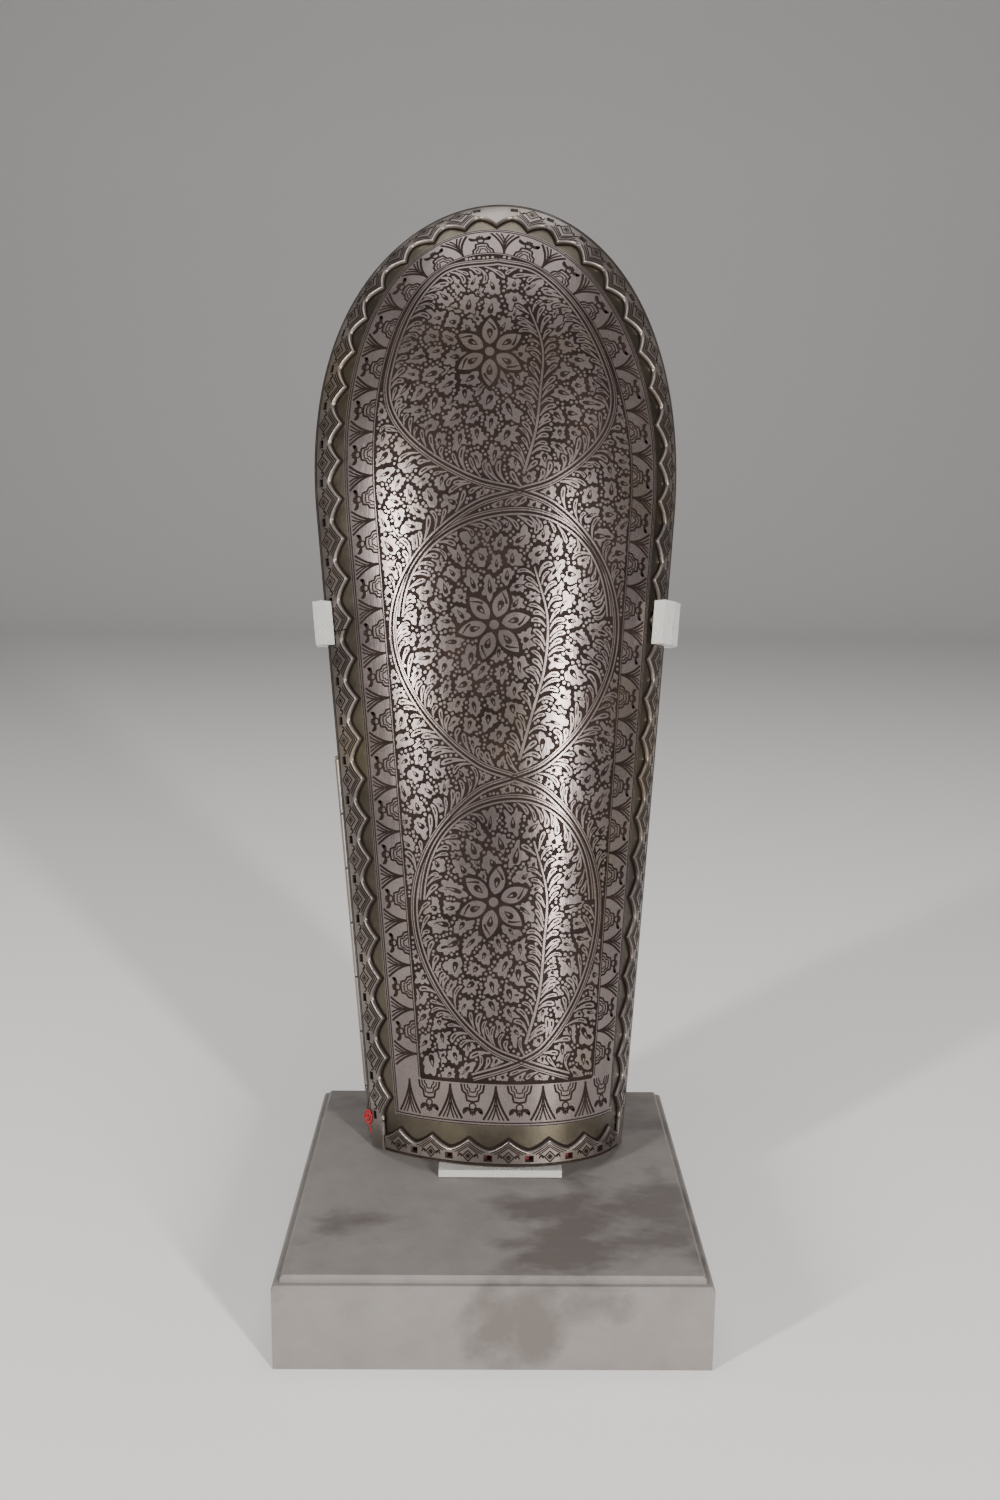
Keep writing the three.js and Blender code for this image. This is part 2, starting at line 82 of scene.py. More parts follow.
KNUCKLE_RADIUS = 1.7
PIN_RADIUS = 0.8
PIN_SPARE = 0.2
HEAD_RADIUS = 1.7
HEAD_LENGTH = 1.0
HINGE_START = 21.6
HINGE_REACH = 2.3
HINGE_SINK = 0.6
LEAF_WALL = 0.8
LEAF_GAP = 0.35
LEAF_WIDTH = 3.0
WING_WALL = 1.1
WING_SINK = 0.15
WING_FOOT = 3.0
WING_WIDTH = 46.0
WING_RADIUS = 44.0
WING_FLARE = math.radians(6)
WING_LOW_END = 9.0
WING_HIGH_END = 26.0
BASE_WIDTH = 135.0
BASE_HEIGHT = 29.8
LEAN = math.radians(11)
TURN = math.radians(3)
RIDGE_SETBACK = 56.0
GUARD_SHIFT = 3.4
SEAT_GAP = 0.3

# Sizes of the etched pattern in millimetres
FIELD_FOOT = 29.0
FRIEZE_FOOT = 15.0
FRIEZE_OUTER = 15.5
FRIEZE_INNER = 27.0
FRIEZE_PITCH = 15.8
FRIEZE_BOLD = 1.3
LEAF_PITCH = 6.6
SMALL_LEAF_PITCH = 3.8
GROUND_GAP = 0.34
LEAF_REACH = 6.4
DROP_ROOM = 1.6
WIDEST_DROP = 2.4
STEM_MISS = 0.25
STRAND_WIDTH = 2.7
ARCH_DROP = 42.0
PETAL_LENGTH = 10.0
PETAL_HALF = 2.75
LIFT_GROUND = 0.03
LIFT_LIGHT = 0.07
LIFT_MARK = 0.11
LIFT_SLIT = 0.15


# The plate's outer face

def side_half(w):
    return WRIST_HALF + (ELBOW_HALF - WRIST_HALF) * w / STRAIGHT


def rim_depth(w):
    return WRIST_DEPTH + (ELBOW_DEPTH - WRIST_DEPTH) * w / LENGTH


def fall_back(r):
    turned = 1 - np.sqrt(np.maximum(0, 1 - (ROUNDNESS * r) ** 2))
    return turned / (1 - math.sqrt(1 - ROUNDNESS ** 2))


def face(u, w):
    """Points of the outer face in the guard's own frame, from plan places."""
    u = np.asarray(u, float)
    w = np.asarray(w, float)
    half = side_half(w)
    x = u / half
    shifted = x - RIDGE_SHIFT / half * (1 - x * x)
    r = np.hypot(shifted, np.maximum(0, w - STRAIGHT) / DOME)
    y = rim_depth(w) * fall_back(r) + END_BOW * (2 * w / LENGTH - 1) ** 2
    return np.stack([u, y, w], -1)


def unit(v):
    return v / np.maximum(np.linalg.norm(v, axis=-1, keepdims=True), 1e-9)


def normal(u, w):
    e = 0.05
    across = face(u + e, w) - face(u - e, w)
    up = face(u, w + e) - face(u, w - e)
    return unit(np.cross(across, up))


corner = face(WRIST_HALF, 0.0) - WALL * normal(np.float64(WRIST_HALF), np.float64(0.0))
GUARD_HEIGHT = BASE_HEIGHT + SEAT_GAP + corner[1] * math.sin(LEAN)
GUARD = (
    Matrix.Translation((GUARD_SHIFT, RIDGE_SETBACK - BASE_WIDTH / 2, GUARD_HEIGHT))
    @ Matrix.Rotation(TURN, 4, "Z")
    @ Matrix.Rotation(-LEAN, 4, "X")
)
GUARD_TURN = np.array(GUARD.to_3x3())
GUARD_PLACE = np.array(GUARD.translation)


def to_row(points):
    """From the guard's own frame in millimetres to the row frame in metres."""
    return (points @ GUARD_TURN.T + GUARD_PLACE) * MM


def on_face(u, w, out):
    """Points at a distance out from the face, in the guard's own frame."""
    return face(u, w) + normal(u, w) * np.asarray(out, float)[..., None]


def walk(start, direction, distance, steps=28):
    """Plan places at a distance over the face from starts, in plan directions."""
    at = np.array(start, float)
    step = np.asarray(distance, float)[..., None] / steps
    for _ in range(steps):
        ahead = at + direction * step
        run = face(ahead[..., 0], ahead[..., 1]) - face(at[..., 0], at[..., 1])
        stretch = np.linalg.norm(run, axis=-1, keepdims=True) / np.maximum(np.abs(step), 1e-9)
        at = at + direction * step / np.maximum(stretch, 1e-6)
    return at


def rim_table(steps=1200):
    straight_w = np.linspace(0, STRAIGHT, steps)
    turn = np.linspace(0, math.pi / 2, steps)[1:]
    dome_w = STRAIGHT + DOME * np.sin(turn)
    w = np.concatenate([straight_w, dome_w])
    u = np.concatenate([side_half(straight_w), side_half(dome_w) * np.cos(turn)])
    length = np.concatenate([[0], np.cumsum(np.hypot(np.diff(u), np.diff(w)))])
    return length, u, w


RIM_LENGTHS, RIM_U, RIM_W = rim_table()
RIM_LENGTH = RIM_LENGTHS[-1]
SIDE_SCALLOP = (RIM_LENGTH - CORNER_PLAIN) / SCALLOPS


def rim_at(side, length):
    """Plan places of the rim and the plan directions inward, from lengths along one side's rim."""
    u = np.interp(length, RIM_LENGTHS, RIM_U)
    w = np.interp(length, RIM_LENGTHS, RIM_W)
    e = 0.4
    low = np.clip(length - e, 0, RIM_LENGTH)
    high = np.clip(length + e, 0, RIM_LENGTH)
    along = np.stack([
        np.interp(high, RIM_LENGTHS, RIM_U) - np.interp(low, RIM_LENGTHS, RIM_U),
        np.interp(high, RIM_LENGTHS, RIM_W) - np.interp(low, RIM_LENGTHS, RIM_W),
    ], -1)
    along = unit(along)
    inward = np.stack([-along[..., 1], along[..., 0]], -1)
    level = np.clip(1 - length / (CORNER_PLAIN - 3), 0, 1)[..., None]
    inward = unit(inward * (1 - level) + np.array([-1.0, 0.0]) * level)
    mirror = np.array([side, 1.0])
    return np.stack([u, w], -1) * mirror, inward * mirror


def inset(side, length, distance):
    """Plan places at a distance inward from the rim."""
    length, distance = np.broadcast_arrays(np.asarray(length, float), np.asarray(distance, float))
    place, inward = rim_at(side, length)
    at = walk(place, inward, distance)
    return at[..., 0], at[..., 1]


# Meshes

def mesh_object(name, points, faces, normals=None, smooth_angle=None):
    """A smooth mesh object from row-frame points in metres."""
    mesh = bpy.data.meshes.new(name)
    mesh.from_pydata([tuple(p) for p in np.asarray(points, float)], [], [tuple(f) for f in faces])
    mesh.polygons.foreach_set("use_smooth", [True] * len(mesh.polygons))
    mesh.update()
    if smooth_angle is not None:
        mesh.set_sharp_from_angle(angle=math.radians(smooth_angle))
    if normals is not None:
        mesh.normals_split_custom_set_from_vertices([tuple(n) for n in normals])
    made = bpy.data.objects.new(name, mesh)
    bpy.context.scene.collection.objects.link(made)
    return made


def shell_arrays(front, back):
    """A closed solid between two grids of points with the same rows and columns."""
    rows, columns = front.shape[:2]
    size = rows * columns
    points = np.concatenate([front.reshape(-1, 3), back.reshape(-1, 3)])
    a = (np.arange(rows - 1)[:, None] * columns + np.arange(columns - 1)).ravel()
    quads = [np.stack([a, a + 1, a + 1 + columns, a + columns], -1)]
    quads.append(np.stack([a, a + columns, a + columns + 1, a + 1], -1) + size)
    loops = [
        np.arange(columns),
        np.arange(rows) * columns + columns - 1,
        (rows - 1) * columns + np.arange(columns)[::-1],
        np.arange(rows)[::-1] * columns,
    ]
    for loop in loops:
        quads.append(np.stack([loop[1:], loop[:-1], size + loop[:-1], size + loop[1:]], -1))
    return points, np.concatenate(quads)


def joined(parts):
    """Several (points, faces) pairs as one."""
    points, faces, count = [], [], 0
    for part_points, part_faces in parts:
        points.append(part_points)
        faces.extend((np.asarray(part_faces) + count).tolist())
        count += len(part_points)
    return np.concatenate(points), faces


def weld(made, distance=1e-6):
    """Merges points that coincide and turns all faces outward."""
    edit = bmesh.new()
    edit.from_mesh(made.data)
    bmesh.ops.remove_doubles(edit, verts=edit.verts, dist=distance)
    bmesh.ops.dissolve_degenerate(edit, dist=distance, edges=edit.edges)
    bmesh.ops.recalc_face_normals(edit, faces=edit.faces)
    edit.to_mesh(made.data)
    edit.free()
    return made


def cut(made, cutter):
    """Cuts a closed mesh out of another one."""
    modifier = made.modifiers.new("holes", "BOOLEAN")
    modifier.operation = "DIFFERENCE"
    modifier.solver = "EXACT"
    modifier.object = cutter
    done = bpy.data.meshes.new_from_object(made.evaluated_get(bpy.context.evaluated_depsgraph_get()))
    made.modifiers.clear()
    made.data = done
    done.polygons.foreach_set("use_smooth", [True] * len(done.polygons))
    done.set_sharp_from_angle(angle=math.radians(38))
    return made


def own(made, body, nodes, material):
    """Puts a piece on its CAD body, with its material."""
    made.data.materials.clear()
    made.data.materials.append(material)
    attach(made, body)
    if nodes:
        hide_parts(*nodes)
    return made


# Materials

def new_material(name):
    material = bpy.data.materials.new(name)
    material.use_nodes = True
    tree = material.node_tree
    return material, tree, tree.nodes["Principled BSDF"]


def add(tree, kind, **values):
    node = tree.nodes.new(kind)
    for key, value in values.items():
        if key in node.inputs:
            node.inputs[key].default_value = value
        else:
            setattr(node, key, value)
    return node


def noise(tree, scale, detail=4.0, roughness=0.6, stretch=None):
    """A noise over the row frame; its scale counts features in a metre."""
    where = tree.nodes.new("ShaderNodeTexCoord")
    made = add(tree, "ShaderNodeTexNoise", Scale=scale, Detail=detail, Roughness=roughness)
    if stretch:
        mapping = tree.nodes.new("ShaderNodeMapping")
        mapping.inputs["Scale"].default_value = stretch
        tree.links.new(where.outputs["Object"], mapping.inputs["Vector"])
        tree.links.new(mapping.outputs["Vector"], made.inputs["Vector"])
    else:
        tree.links.new(where.outputs["Object"], made.inputs["Vector"])
    return made.outputs["Fac"]


def spread(tree, value, low, high, to_low, to_high):
    node = tree.nodes.new("ShaderNodeMapRange")
    for key, number in (("From Min", low), ("From Max", high), ("To Min", to_low), ("To Max", to_high)):
        node.inputs[key].default_value = number
    tree.links.new(value, node.inputs["Value"])
    return node.outputs["Result"]


def mixed(tree, factor, first, second):
    """A blend of two colours, each a colour or an output."""
    node = tree.nodes.new("ShaderNodeMix")
    node.data_type = "RGBA"
    tree.links.new(factor, node.inputs["Factor"])
    for key, colour in ((6, first), (7, second)):
        if isinstance(colour, tuple):
            node.inputs[key].default_value = (*colour, 1)
        else:
            tree.links.new(colour, node.inputs[key])
    return node.outputs[2]


def bump(tree, shader, height, strength, distance):
    node = add(tree, "ShaderNodeBump", Strength=strength, Distance=distance)
    tree.links.new(height, node.inputs["Height"])
    tree.links.new(node.outputs["Normal"], shader.inputs["Normal"])


def steel(name, light, dark, tarnish, rough_low, rough_high, metallic=1.0):
    """Old steel: cloudy patches, a warm tarnish, fine rubbing marks and small pits."""
    material, tree, shader = new_material(name)
    clouds = noise(tree, 34, 5, 0.62)
    patches = noise(tree, 90, 6, 0.7)
    body = mixed(tree, spread(tree, clouds, 0.36, 0.66, 0, 1), dark, light)
    warm = spread(tree, noise(tree, 18, 3, 0.55), 0.52, 0.72, 0, 0.75)
    colour = mixed(tree, warm, body, tarnish)
    speckle = spread(tree, noise(tree, 900, 3, 0.7), 0.62, 0.74, 0, 0.5)
    colour = mixed(tree, speckle, colour, tuple(0.45 * c for c in dark))
    tree.links.new(colour, shader.inputs["Base Color"])
    shader.inputs["Metallic"].default_value = metallic
    tree.links.new(spread(tree, patches, 0.3, 0.7, rough_low, rough_high), shader.inputs["Roughness"])
    rubbed = noise(tree, 260, 4, 0.65, stretch=(1, 1, 0.18))
    bump(tree, shader, rubbed, 0.16, 0.0006)
    return material


def flat_material(name, colour, other, rough, scale=60, shine=0.5):
    """A matt look that wanders between two colours."""
    material, tree, shader = new_material(name)
    shader.inputs["Specular IOR Level"].default_value = shine
    factor = spread(tree, noise(tree, scale, 5, 0.65), 0.35, 0.65, 0, 1)
    tree.links.new(mixed(tree, factor, colour, other), shader.inputs["Base Color"])
    shader.inputs["Roughness"].default_value = rough
    return material


# Each steel: its light, dark and tarnished colours, its roughness range and how metallic it is
etched = steel(
    "etched_steel_look", (0.180, 0.150, 0.145), (0.125, 0.104, 0.101), (0.160, 0.131, 0.092), 0.22, 0.33, 0.68
)
tarnished = steel(
    "tarnished_steel_look", (0.13, 0.115, 0.085), (0.07, 0.061, 0.047), (0.12, 0.10, 0.052), 0.30, 0.44
)
border = steel(
    "border_steel_look", (0.24, 0.208, 0.190), (0.12, 0.104, 0.096), (0.21, 0.168, 0.10), 0.26, 0.40, 0.8
)
plain = steel("plain_steel_look", (0.34, 0.31, 0.285), (0.19, 0.17, 0.158), (0.25, 0.20, 0.13), 0.34, 0.5)
ETCH_DARK = ((0.022, 0.014, 0.011), (0.010, 0.007, 0.006))
ground = flat_material("etched_ground_look", *ETCH_DARK, 0.55, shine=0.06)
etched_line = flat_material("etched_line_look", *ETCH_DARK, 0.55, shine=0.06)


def acrylic_look():
    material, tree, shader = new_material("milky_acrylic_look")
    shader.inputs["Base Color"].default_value = (0.80, 0.80, 0.77, 1)
    shader.inputs["Transmission Weight"].default_value = 0.5
    shader.inputs["IOR"].default_value = 1.49
    tree.links.new(spread(tree, noise(tree, 120, 5), 0.3, 0.7, 0.20, 0.36), shader.inputs["Roughness"])
    return material


def paint_look():
    """Mid-grey paint with smudges where it has been handled."""
    material, tree, shader = new_material("base_paint_look")
    smudge = spread(tree, noise(tree, 15, 6, 0.6, stretch=(1, 1.7, 1)), 0.5, 0.6, 0, 1)
    fine = spread(tree, noise(tree, 70, 6, 0.7), 0.3, 0.7, 0, 1)
    body = mixed(tree, fine, (0.150, 0.138, 0.130), (0.185, 0.172, 0.162))
    tree.links.new(mixed(tree, smudge, body, (0.100, 0.088, 0.082)), shader.inputs["Base Color"])
    tree.links.new(spread(tree, smudge, 0, 1, 0.62, 0.42), shader.inputs["Roughness"])
    bump(tree, shader, noise(tree, 600, 5, 0.7), 0.1, 0.0005)
    return material


def cloth_look():
    """Crimson cloth with a close weave."""
    material, tree, shader = new_material("lining_cloth_look")
    fade = spread(tree, noise(tree, 40, 5, 0.6), 0.35, 0.65, 0, 1)
    tree.links.new(mixed(tree, fade, (0.10, 0.006, 0.009), (0.16, 0.014, 0.014)), shader.inputs["Base Color"])
    shader.inputs["Roughness"].default_value = 0.85
    shader.inputs["Sheen Weight"].default_value = 0.3
    weave = noise(tree, 1500, 2, 0.5)
    bump(tree, shader, weave, 0.5, 0.0006)
    return material


acrylic = acrylic_look()
paint = paint_look()
cloth = cloth_look()
thread_red = flat_material("red_thread_look", (0.34, 0.010, 0.014), (0.20, 0.008, 0.010), 0.85, 300)


# Main plate, border strips and lining

def plate_grid(columns, straight_rows, dome_rows, margin, low):
    """Rows of plan places over the plate; low gives the lower edge's height at each share."""
    shares = np.sin(np.linspace(-1, 1, columns + 1) * math.pi / 2 * 0.9) / math.sin(math.pi / 2 * 0.9)
    us, ws = [], []
    for j in range(straight_rows):
        t = j / straight_rows
        w = low(np.abs(shares)) * (1 - t) + STRAIGHT * t
        us.append((side_half(w) - margin) * shares)
        ws.append(w)
    for j in range(dome_rows + 1):
        turn = j / dome_rows * math.pi / 2
        w = np.full(columns + 1, STRAIGHT + (DOME - margin) * math.sin(turn))
        us.append((side_half(w) - margin) * math.cos(turn) * shares)
        ws.append(w)
    return np.array(us), np.array(ws)


def scallop_reach(count, at_wrist=False):
    from_tip = np.abs(count - np.round(count)) * 2
    narrow, wide = (WRIST_STRIP_NARROW, WRIST_STRIP_WIDE) if at_wrist else (STRIP_NARROW, STRIP_WIDE)
    return narrow + (wide - narrow) * (1 - from_tip) ** TIP_SHARPNESS


# The way over the face along the wrist edge
WRIST_U = np.linspace(-WRIST_HALF, WRIST_HALF, 1201)
WRIST_STEPS = np.linalg.norm(np.diff(face(WRIST_U, np.zeros(1201)), axis=0), axis=-1)
WRIST_LENGTHS = np.concatenate([[0], np.cumsum(WRIST_STEPS)])
WRIST_START = STRIP_NARROW + STRIP_JOINT
WRIST_SCALLOP = (WRIST_LENGTHS[-1] - 2 * WRIST_START) / SCALLOPS_AT_WRIST


def side_place(side):
    """Plan places on a side's strip, counted in scallops along it and millimetres in from the rim."""
    def place(count, distance):
        return inset(side, CORNER_PLAIN + np.asarray(count, float) * SIDE_SCALLOP, distance)

    return place


def wrist_place(count, distance):
    count, distance = np.broadcast_arrays(np.asarray(count, float), np.asarray(distance, float))
    return np.interp(WRIST_START + count * WRIST_SCALLOP, WRIST_LENGTHS, WRIST_U), distance.copy()


def strip_counts(first, last, per_scallop=24):
    return np.linspace(first, last, max(2, round((last - first) * per_scallop)) + 1)


def strip_part(place, first, last, flip, plain_below=None):
    """A strip with rounded edges, its inner one scalloped."""
    counts = strip_counts(first, last)
    reach = scallop_reach(counts + 0.5, place is wrist_place)
    if plain_below is not None:
        reach = np.where(counts < plain_below, STRIP_NARROW, reach)
    # Shares across and how far the top is lowered there
    edges = [(0, 0.45), (0.15, 0.2), (0.5, 0.0)]
    middle = [(share, 0.0) for share in np.linspace(0.15, 0.8, 7)]
    inner = [(-0.7, 0.0), (-0.42, 0.06), (-0.16, 0.22), (0.0, 0.45)]
    columns = [np.full_like(reach, d) for d, _ in edges]
    columns += [reach * share for share, _ in middle]
    columns += [reach + d for d, _ in inner]
    drops = [drop for _, drop in edges + middle + inner]
    distance = np.stack(columns, -1)
    u, w = place(counts[:, None], distance)
    front = on_face(u, w, STRIP_TOP - np.array(drops)[None, :] * np.ones_like(u))
    back = on_face(u, w, np.full_like(u, STRIP_GAP))
    if flip:
        front, back = front[:, ::-1], back[:, ::-1]
    return shell_arrays(to_row(front), to_row(back))


def hole_cutters():
    """Square pegs through the strips and the plate at every stitch hole."""
    parts = []

    def peg(place, count, pitch):
        half = HOLE_WIDTH / 2
        counts = np.array([count - 1.35 * half / pitch, count + 1.35 * half / pitch])
        middle = WRIST_HOLE_INSET if place is wrist_place else HOLE_INSET
        u, w = place(counts[:, None], np.array([[middle - half, middle + half]]))
        front = to_row(on_face(u, w, np.full_like(u, STRIP_TOP + 2)))
        back = to_row(on_face(u, w, np.full_like(u, -WALL - 1.6)))
        parts.append(shell_arrays(front, back))

    for side in (-1, 1):
        for n in range(0, int(SCALLOPS) + 1):
            if abs(n - SEAM_SCALLOP) > 0.15:
                peg(side_place(side), n, SIDE_SCALLOP)
    for n in range(1, SCALLOPS_AT_WRIST):
        peg(wrist_place, n, WRIST_SCALLOP)
    made = mesh_object("hole_pegs", *joined(parts))
    return weld(made)


pegs = hole_cutters()
plate_u, plate_w = plate_grid(110, 120, 76, 0, lambda share: 0 * share)
plate_front = on_face(plate_u, plate_w, np.zeros_like(plate_u))
plate_back = on_face(plate_u, plate_w, np.full_like(plate_u, -WALL))
plate = weld(mesh_object("main_plate_steel", *shell_arrays(to_row(plate_front), to_row(plate_back))))
own(cut(plate, pegs), "guard_and_stand", ["main_plate"], etched)

joint_count = STRIP_JOINT / 2 / SIDE_SCALLOP
first_count = -CORNER_PLAIN / SIDE_SCALLOP
strip_makers = {
    "border_left": [(side_place(-1), first_count, SEAM_SCALLOP - joint_count, False)],
    "border_right": [(side_place(1), first_count, SEAM_SCALLOP - joint_count, True)],
    "border_crown": [
        (side_place(-1), SEAM_SCALLOP + joint_count, SCALLOPS, False),
        (side_place(1), SEAM_SCALLOP + joint_count, SCALLOPS, True),
    ],
    "border_wrist": [(wrist_place, 0, SCALLOPS_AT_WRIST, True)],
}
for node, makers in strip_makers.items():
    parts = [strip_part(*maker, plain_below=None if node == "border_wrist" else -0.1) for maker in makers]
    strip = weld(mesh_object(f"{node}_steel", *joined(parts)))
    own(cut(strip, pegs), "guard_and_stand", [node], border)
bpy.data.objects.remove(pegs)


def lining_piece():
    """A thin padded lining, stitched in lozenges, its edge rounded."""
    u, w = plate_grid(120, 130, 70, LINING_INSET, lambda share: LINING_RISE * share ** 2 - LINING_DROP)
    rows, columns = u.shape
    across = np.minimum(np.arange(columns), np.arange(columns)[::-1]) * 1.0
    up = np.arange(rows)[:, None]
    edge = np.minimum(across * 0.8, np.minimum(up * 1.4, up[::-1] * 1.1))
    round_off = np.sqrt(1 - (1 - np.clip(edge / 2.2, 0, 1)) ** 2)
    a, b = (u + w) / LOZENGE, (u - w) / LOZENGE
    puff = np.abs(np.sin(a * math.pi)) ** 0.5 * np.abs(np.sin(b * math.pi)) ** 0.5
    middle = LINING_OUTER - LINING_WALL / 2
    thick = LINING_WALL / 2 * (0.30 + 0.70 * round_off)
    front = on_face(u, w, middle + thick)
    back = on_face(u, w, middle - thick * (0.62 + 1.0 * puff))
    return weld(mesh_object("lining_cloth", *shell_arrays(to_row(front), to_row(back)), smooth_angle=60))


lining = own(lining_piece(), "guard_and_stand", ["lining"], cloth)


# Etched pattern

class Drawing:
    """Flat shapes that are laid over the face a little way out from it."""

    def __init__(self, name, material, place, lift):
        self.name = name
        self.material = material
        self.place = place
        self.lift = lift
        self.parts = []

    def polygon(self, points, centre=None):
        """A fan from a centre that sees the whole outline."""
        points = np.asarray(points, float)
        centre = points.mean(0) if centre is None else np.asarray(centre, float)
        count = len(points)
        ring = np.arange(count)
        faces = np.stack([np.full(count, count), ring, (ring + 1) % count], -1)
        self.parts.append((np.vstack([points, centre]), faces))

    def ribbon(self, points, widths):
        """A band along a line, as wide as given at each point."""
        points = np.asarray(points, float)
        widths = np.broadcast_to(np.asarray(widths, float), len(points))
        across = unit(np.gradient(points, axis=0))[:, ::-1] * np.array([-1.0, 1.0])
        halves = np.array([0.5, -0.5])[None, :, None]
        sides = points[:, None, :] + across[:, None, :] * widths[:, None, None] * halves
        count = len(points)
        a = np.arange(count - 1) * 2
        faces = np.stack([a, a + 1, a + 3, a + 2], -1)
        self.parts.append((sides.reshape(-1, 2), faces))

    def build(self, slot):
        points, count, faces = [], 0, []
        for part_points, part_faces in self.parts:
            points.append(part_points)
            faces.extend((part_faces + count).tolist())
            count += len(part_points)
        flat = np.concatenate(points)
        u, w = self.place(flat[:, 0], flat[:, 1])
        out = normal(u, w)
        where = to_row(face(u, w) + out * self.lift)
        out = out @ GUARD_TURN.T
        # All faces are turned to face out
        corners = [np.array(f) for f in faces]
        for i, f in enumerate(corners):
            n = np.cross(where[f[1]] - where[f[0]], where[f[2]] - where[f[0]])
            if n @ out[f[0]] < 0:
                faces[i] = faces[i][::-1]
        made = mesh_object(self.name, where, faces, normals=out)
        return own(made, "guard_and_stand", [], self.material)


def smooth_line(points, step=0.7):
    """A smooth line through points, with even steps."""
    points = np.asarray(points, float)
    t = np.concatenate([[0], np.cumsum(np.linalg.norm(np.diff(points, axis=0), axis=1))])
    fine = np.linspace(0, t[-1], max(3, int(t[-1] / step) + 1))
    if len(points) < 3:
        return np.stack([np.interp(fine, t, points[:, k]) for k in range(2)], -1)
    slope = np.gradient(points, t, axis=0)
    i = np.clip(np.searchsorted(t, fine) - 1, 0, len(t) - 2)
    h = (t[i + 1] - t[i])[:, None]
    s = ((fine - t[i]) / (t[i + 1] - t[i]))[:, None]
    p0, p1, m0, m1 = points[i], points[i + 1], slope[i] * h, slope[i + 1] * h
    return (
        (2 * s ** 3 - 3 * s ** 2 + 1) * p0 + (s ** 3 - 2 * s ** 2 + s) * m0
        + (-2 * s ** 3 + 3 * s ** 2) * p1 + (s ** 3 - s ** 2) * m1
    )


def broken_line(points, step=0.7):
    """A line with sharp corners, with even steps."""
    points = np.asarray(points, float)
    parts = []
    for a, b in zip(points[:-1], points[1:]):
        count = max(1, int(np.linalg.norm(b - a) / step))
        parts.append(a + (b - a) * np.arange(count)[:, None] / count)
    return np.vstack([*parts, points[-1:]])


# Flat places in the field: p over the face from the middle, q up from the wrist edge
FLAT_W = np.linspace(0, LENGTH - 3, 180)
FLAT_P = np.linspace(-75, 75, 301)


def flat_table():
    table = []
    for w in FLAT_W:
        half = float(side_half(w))
        dome = max(0, w - STRAIGHT) / DOME
        half = half * math.sqrt(max(0.01, 1 - dome * dome))
        u = np.linspace(-half, half, 401)
        steps = np.linalg.norm(np.diff(face(u, np.full_like(u, w)), axis=0), axis=1)
        p = np.concatenate([[0], np.cumsum(steps)])
        table.append(np.interp(FLAT_P, p - np.interp(0, u, p), u))
    return np.array(table)


FLAT_U = flat_table()


def field_place(p, q):
    """Plan places from flat places in the field."""
    p = np.asarray(p, float)
    q = np.asarray(q, float)
    row = np.clip(q / (FLAT_W[1] - FLAT_W[0]), 0, len(FLAT_W) - 1.001)
    column = np.clip((p - FLAT_P[0]) / (FLAT_P[1] - FLAT_P[0]), 0, len(FLAT_P) - 1.001)
    j, i = row.astype(int), column.astype(int)
    b, a = row - j, column - i
    low = FLAT_U[j, i] * (1 - a) + FLAT_U[j, i + 1] * a
    high = FLAT_U[j + 1, i] * (1 - a) + FLAT_U[j + 1, i + 1] * a
    return low * (1 - b) + high * b, q


def flat_p(u, w):
    """The flat place across for a plan place."""
    row = np.clip(np.asarray(w, float) / (FLAT_W[1] - FLAT_W[0]), 0, len(FLAT_W) - 1.001).astype(int)
    return np.array([np.interp(x, FLAT_U[j], FLAT_P) for x, j in zip(np.atleast_1d(u), np.atleast_1d(row))])


def field_edges():
    """The field's left and right edges as flat places, by height."""
    lengths = np.linspace(20, RIM_LENGTH, 500)
    edges = []
    for side in (-1, 1):
        u, w = inset(side, lengths, np.full_like(lengths, FRIEZE_INNER))
        edges.append((w, flat_p(u, w)))
    return edges


(LEFT_Q, LEFT_P), (RIGHT_Q, RIGHT_P) = field_edges()
FIELD_TOP = min(LEFT_Q[-1], RIGHT_Q[-1])


def left_edge(q):
    return np.interp(q, LEFT_Q, LEFT_P)


def right_edge(q):
    return np.interp(q, RIGHT_Q, RIGHT_P)


# What is taken in the field, on a fine grid of flat places
CELL = 0.2
GRID_P = -66.0
GRID_Q = 20.0
taken = np.ones((int(310 / CELL), int(132 / CELL)), bool)
grid_q = GRID_Q + (np.arange(taken.shape[0]) + 0.5) * CELL
grid_p = GRID_P + (np.arange(taken.shape[1]) + 0.5) * CELL
for row, q in enumerate(grid_q):
    if FIELD_FOOT + 0.5 < q < FIELD_TOP - 0.3:
        taken[row] = (grid_p < left_edge(q) + 0.35) | (grid_p > right_edge(q) - 0.35)


def is_taken(points):
    i = ((points[..., 0] - GRID_P) / CELL).astype(int)
    j = ((points[..., 1] - GRID_Q) / CELL).astype(int)
    inside = (i >= 0) & (j >= 0) & (i < taken.shape[1]) & (j < taken.shape[0])
    return np.where(inside, taken[np.clip(j, 0, taken.shape[0] - 1), np.clip(i, 0, taken.shape[1] - 1)], True)


def take_disc(centre, radius):
    i0 = int((centre[0] - radius - GRID_P) / CELL)
    i1 = int((centre[0] + radius - GRID_P) / CELL) + 2
    j0 = int((centre[1] - radius - GRID_Q) / CELL)
    j1 = int((centre[1] + radius - GRID_Q) / CELL) + 2
    i0, j0 = max(i0, 0), max(j0, 0)
    near = np.hypot(grid_p[i0:i1][None, :] - centre[0], grid_q[j0:j1][:, None] - centre[1]) < radius
    taken[j0:j1, i0:i1] |= near


def take_line(points, widths):
    widths = np.broadcast_to(np.asarray(widths, float), len(points))
    for point, width in zip(points, widths):
        take_disc(point, width / 2)


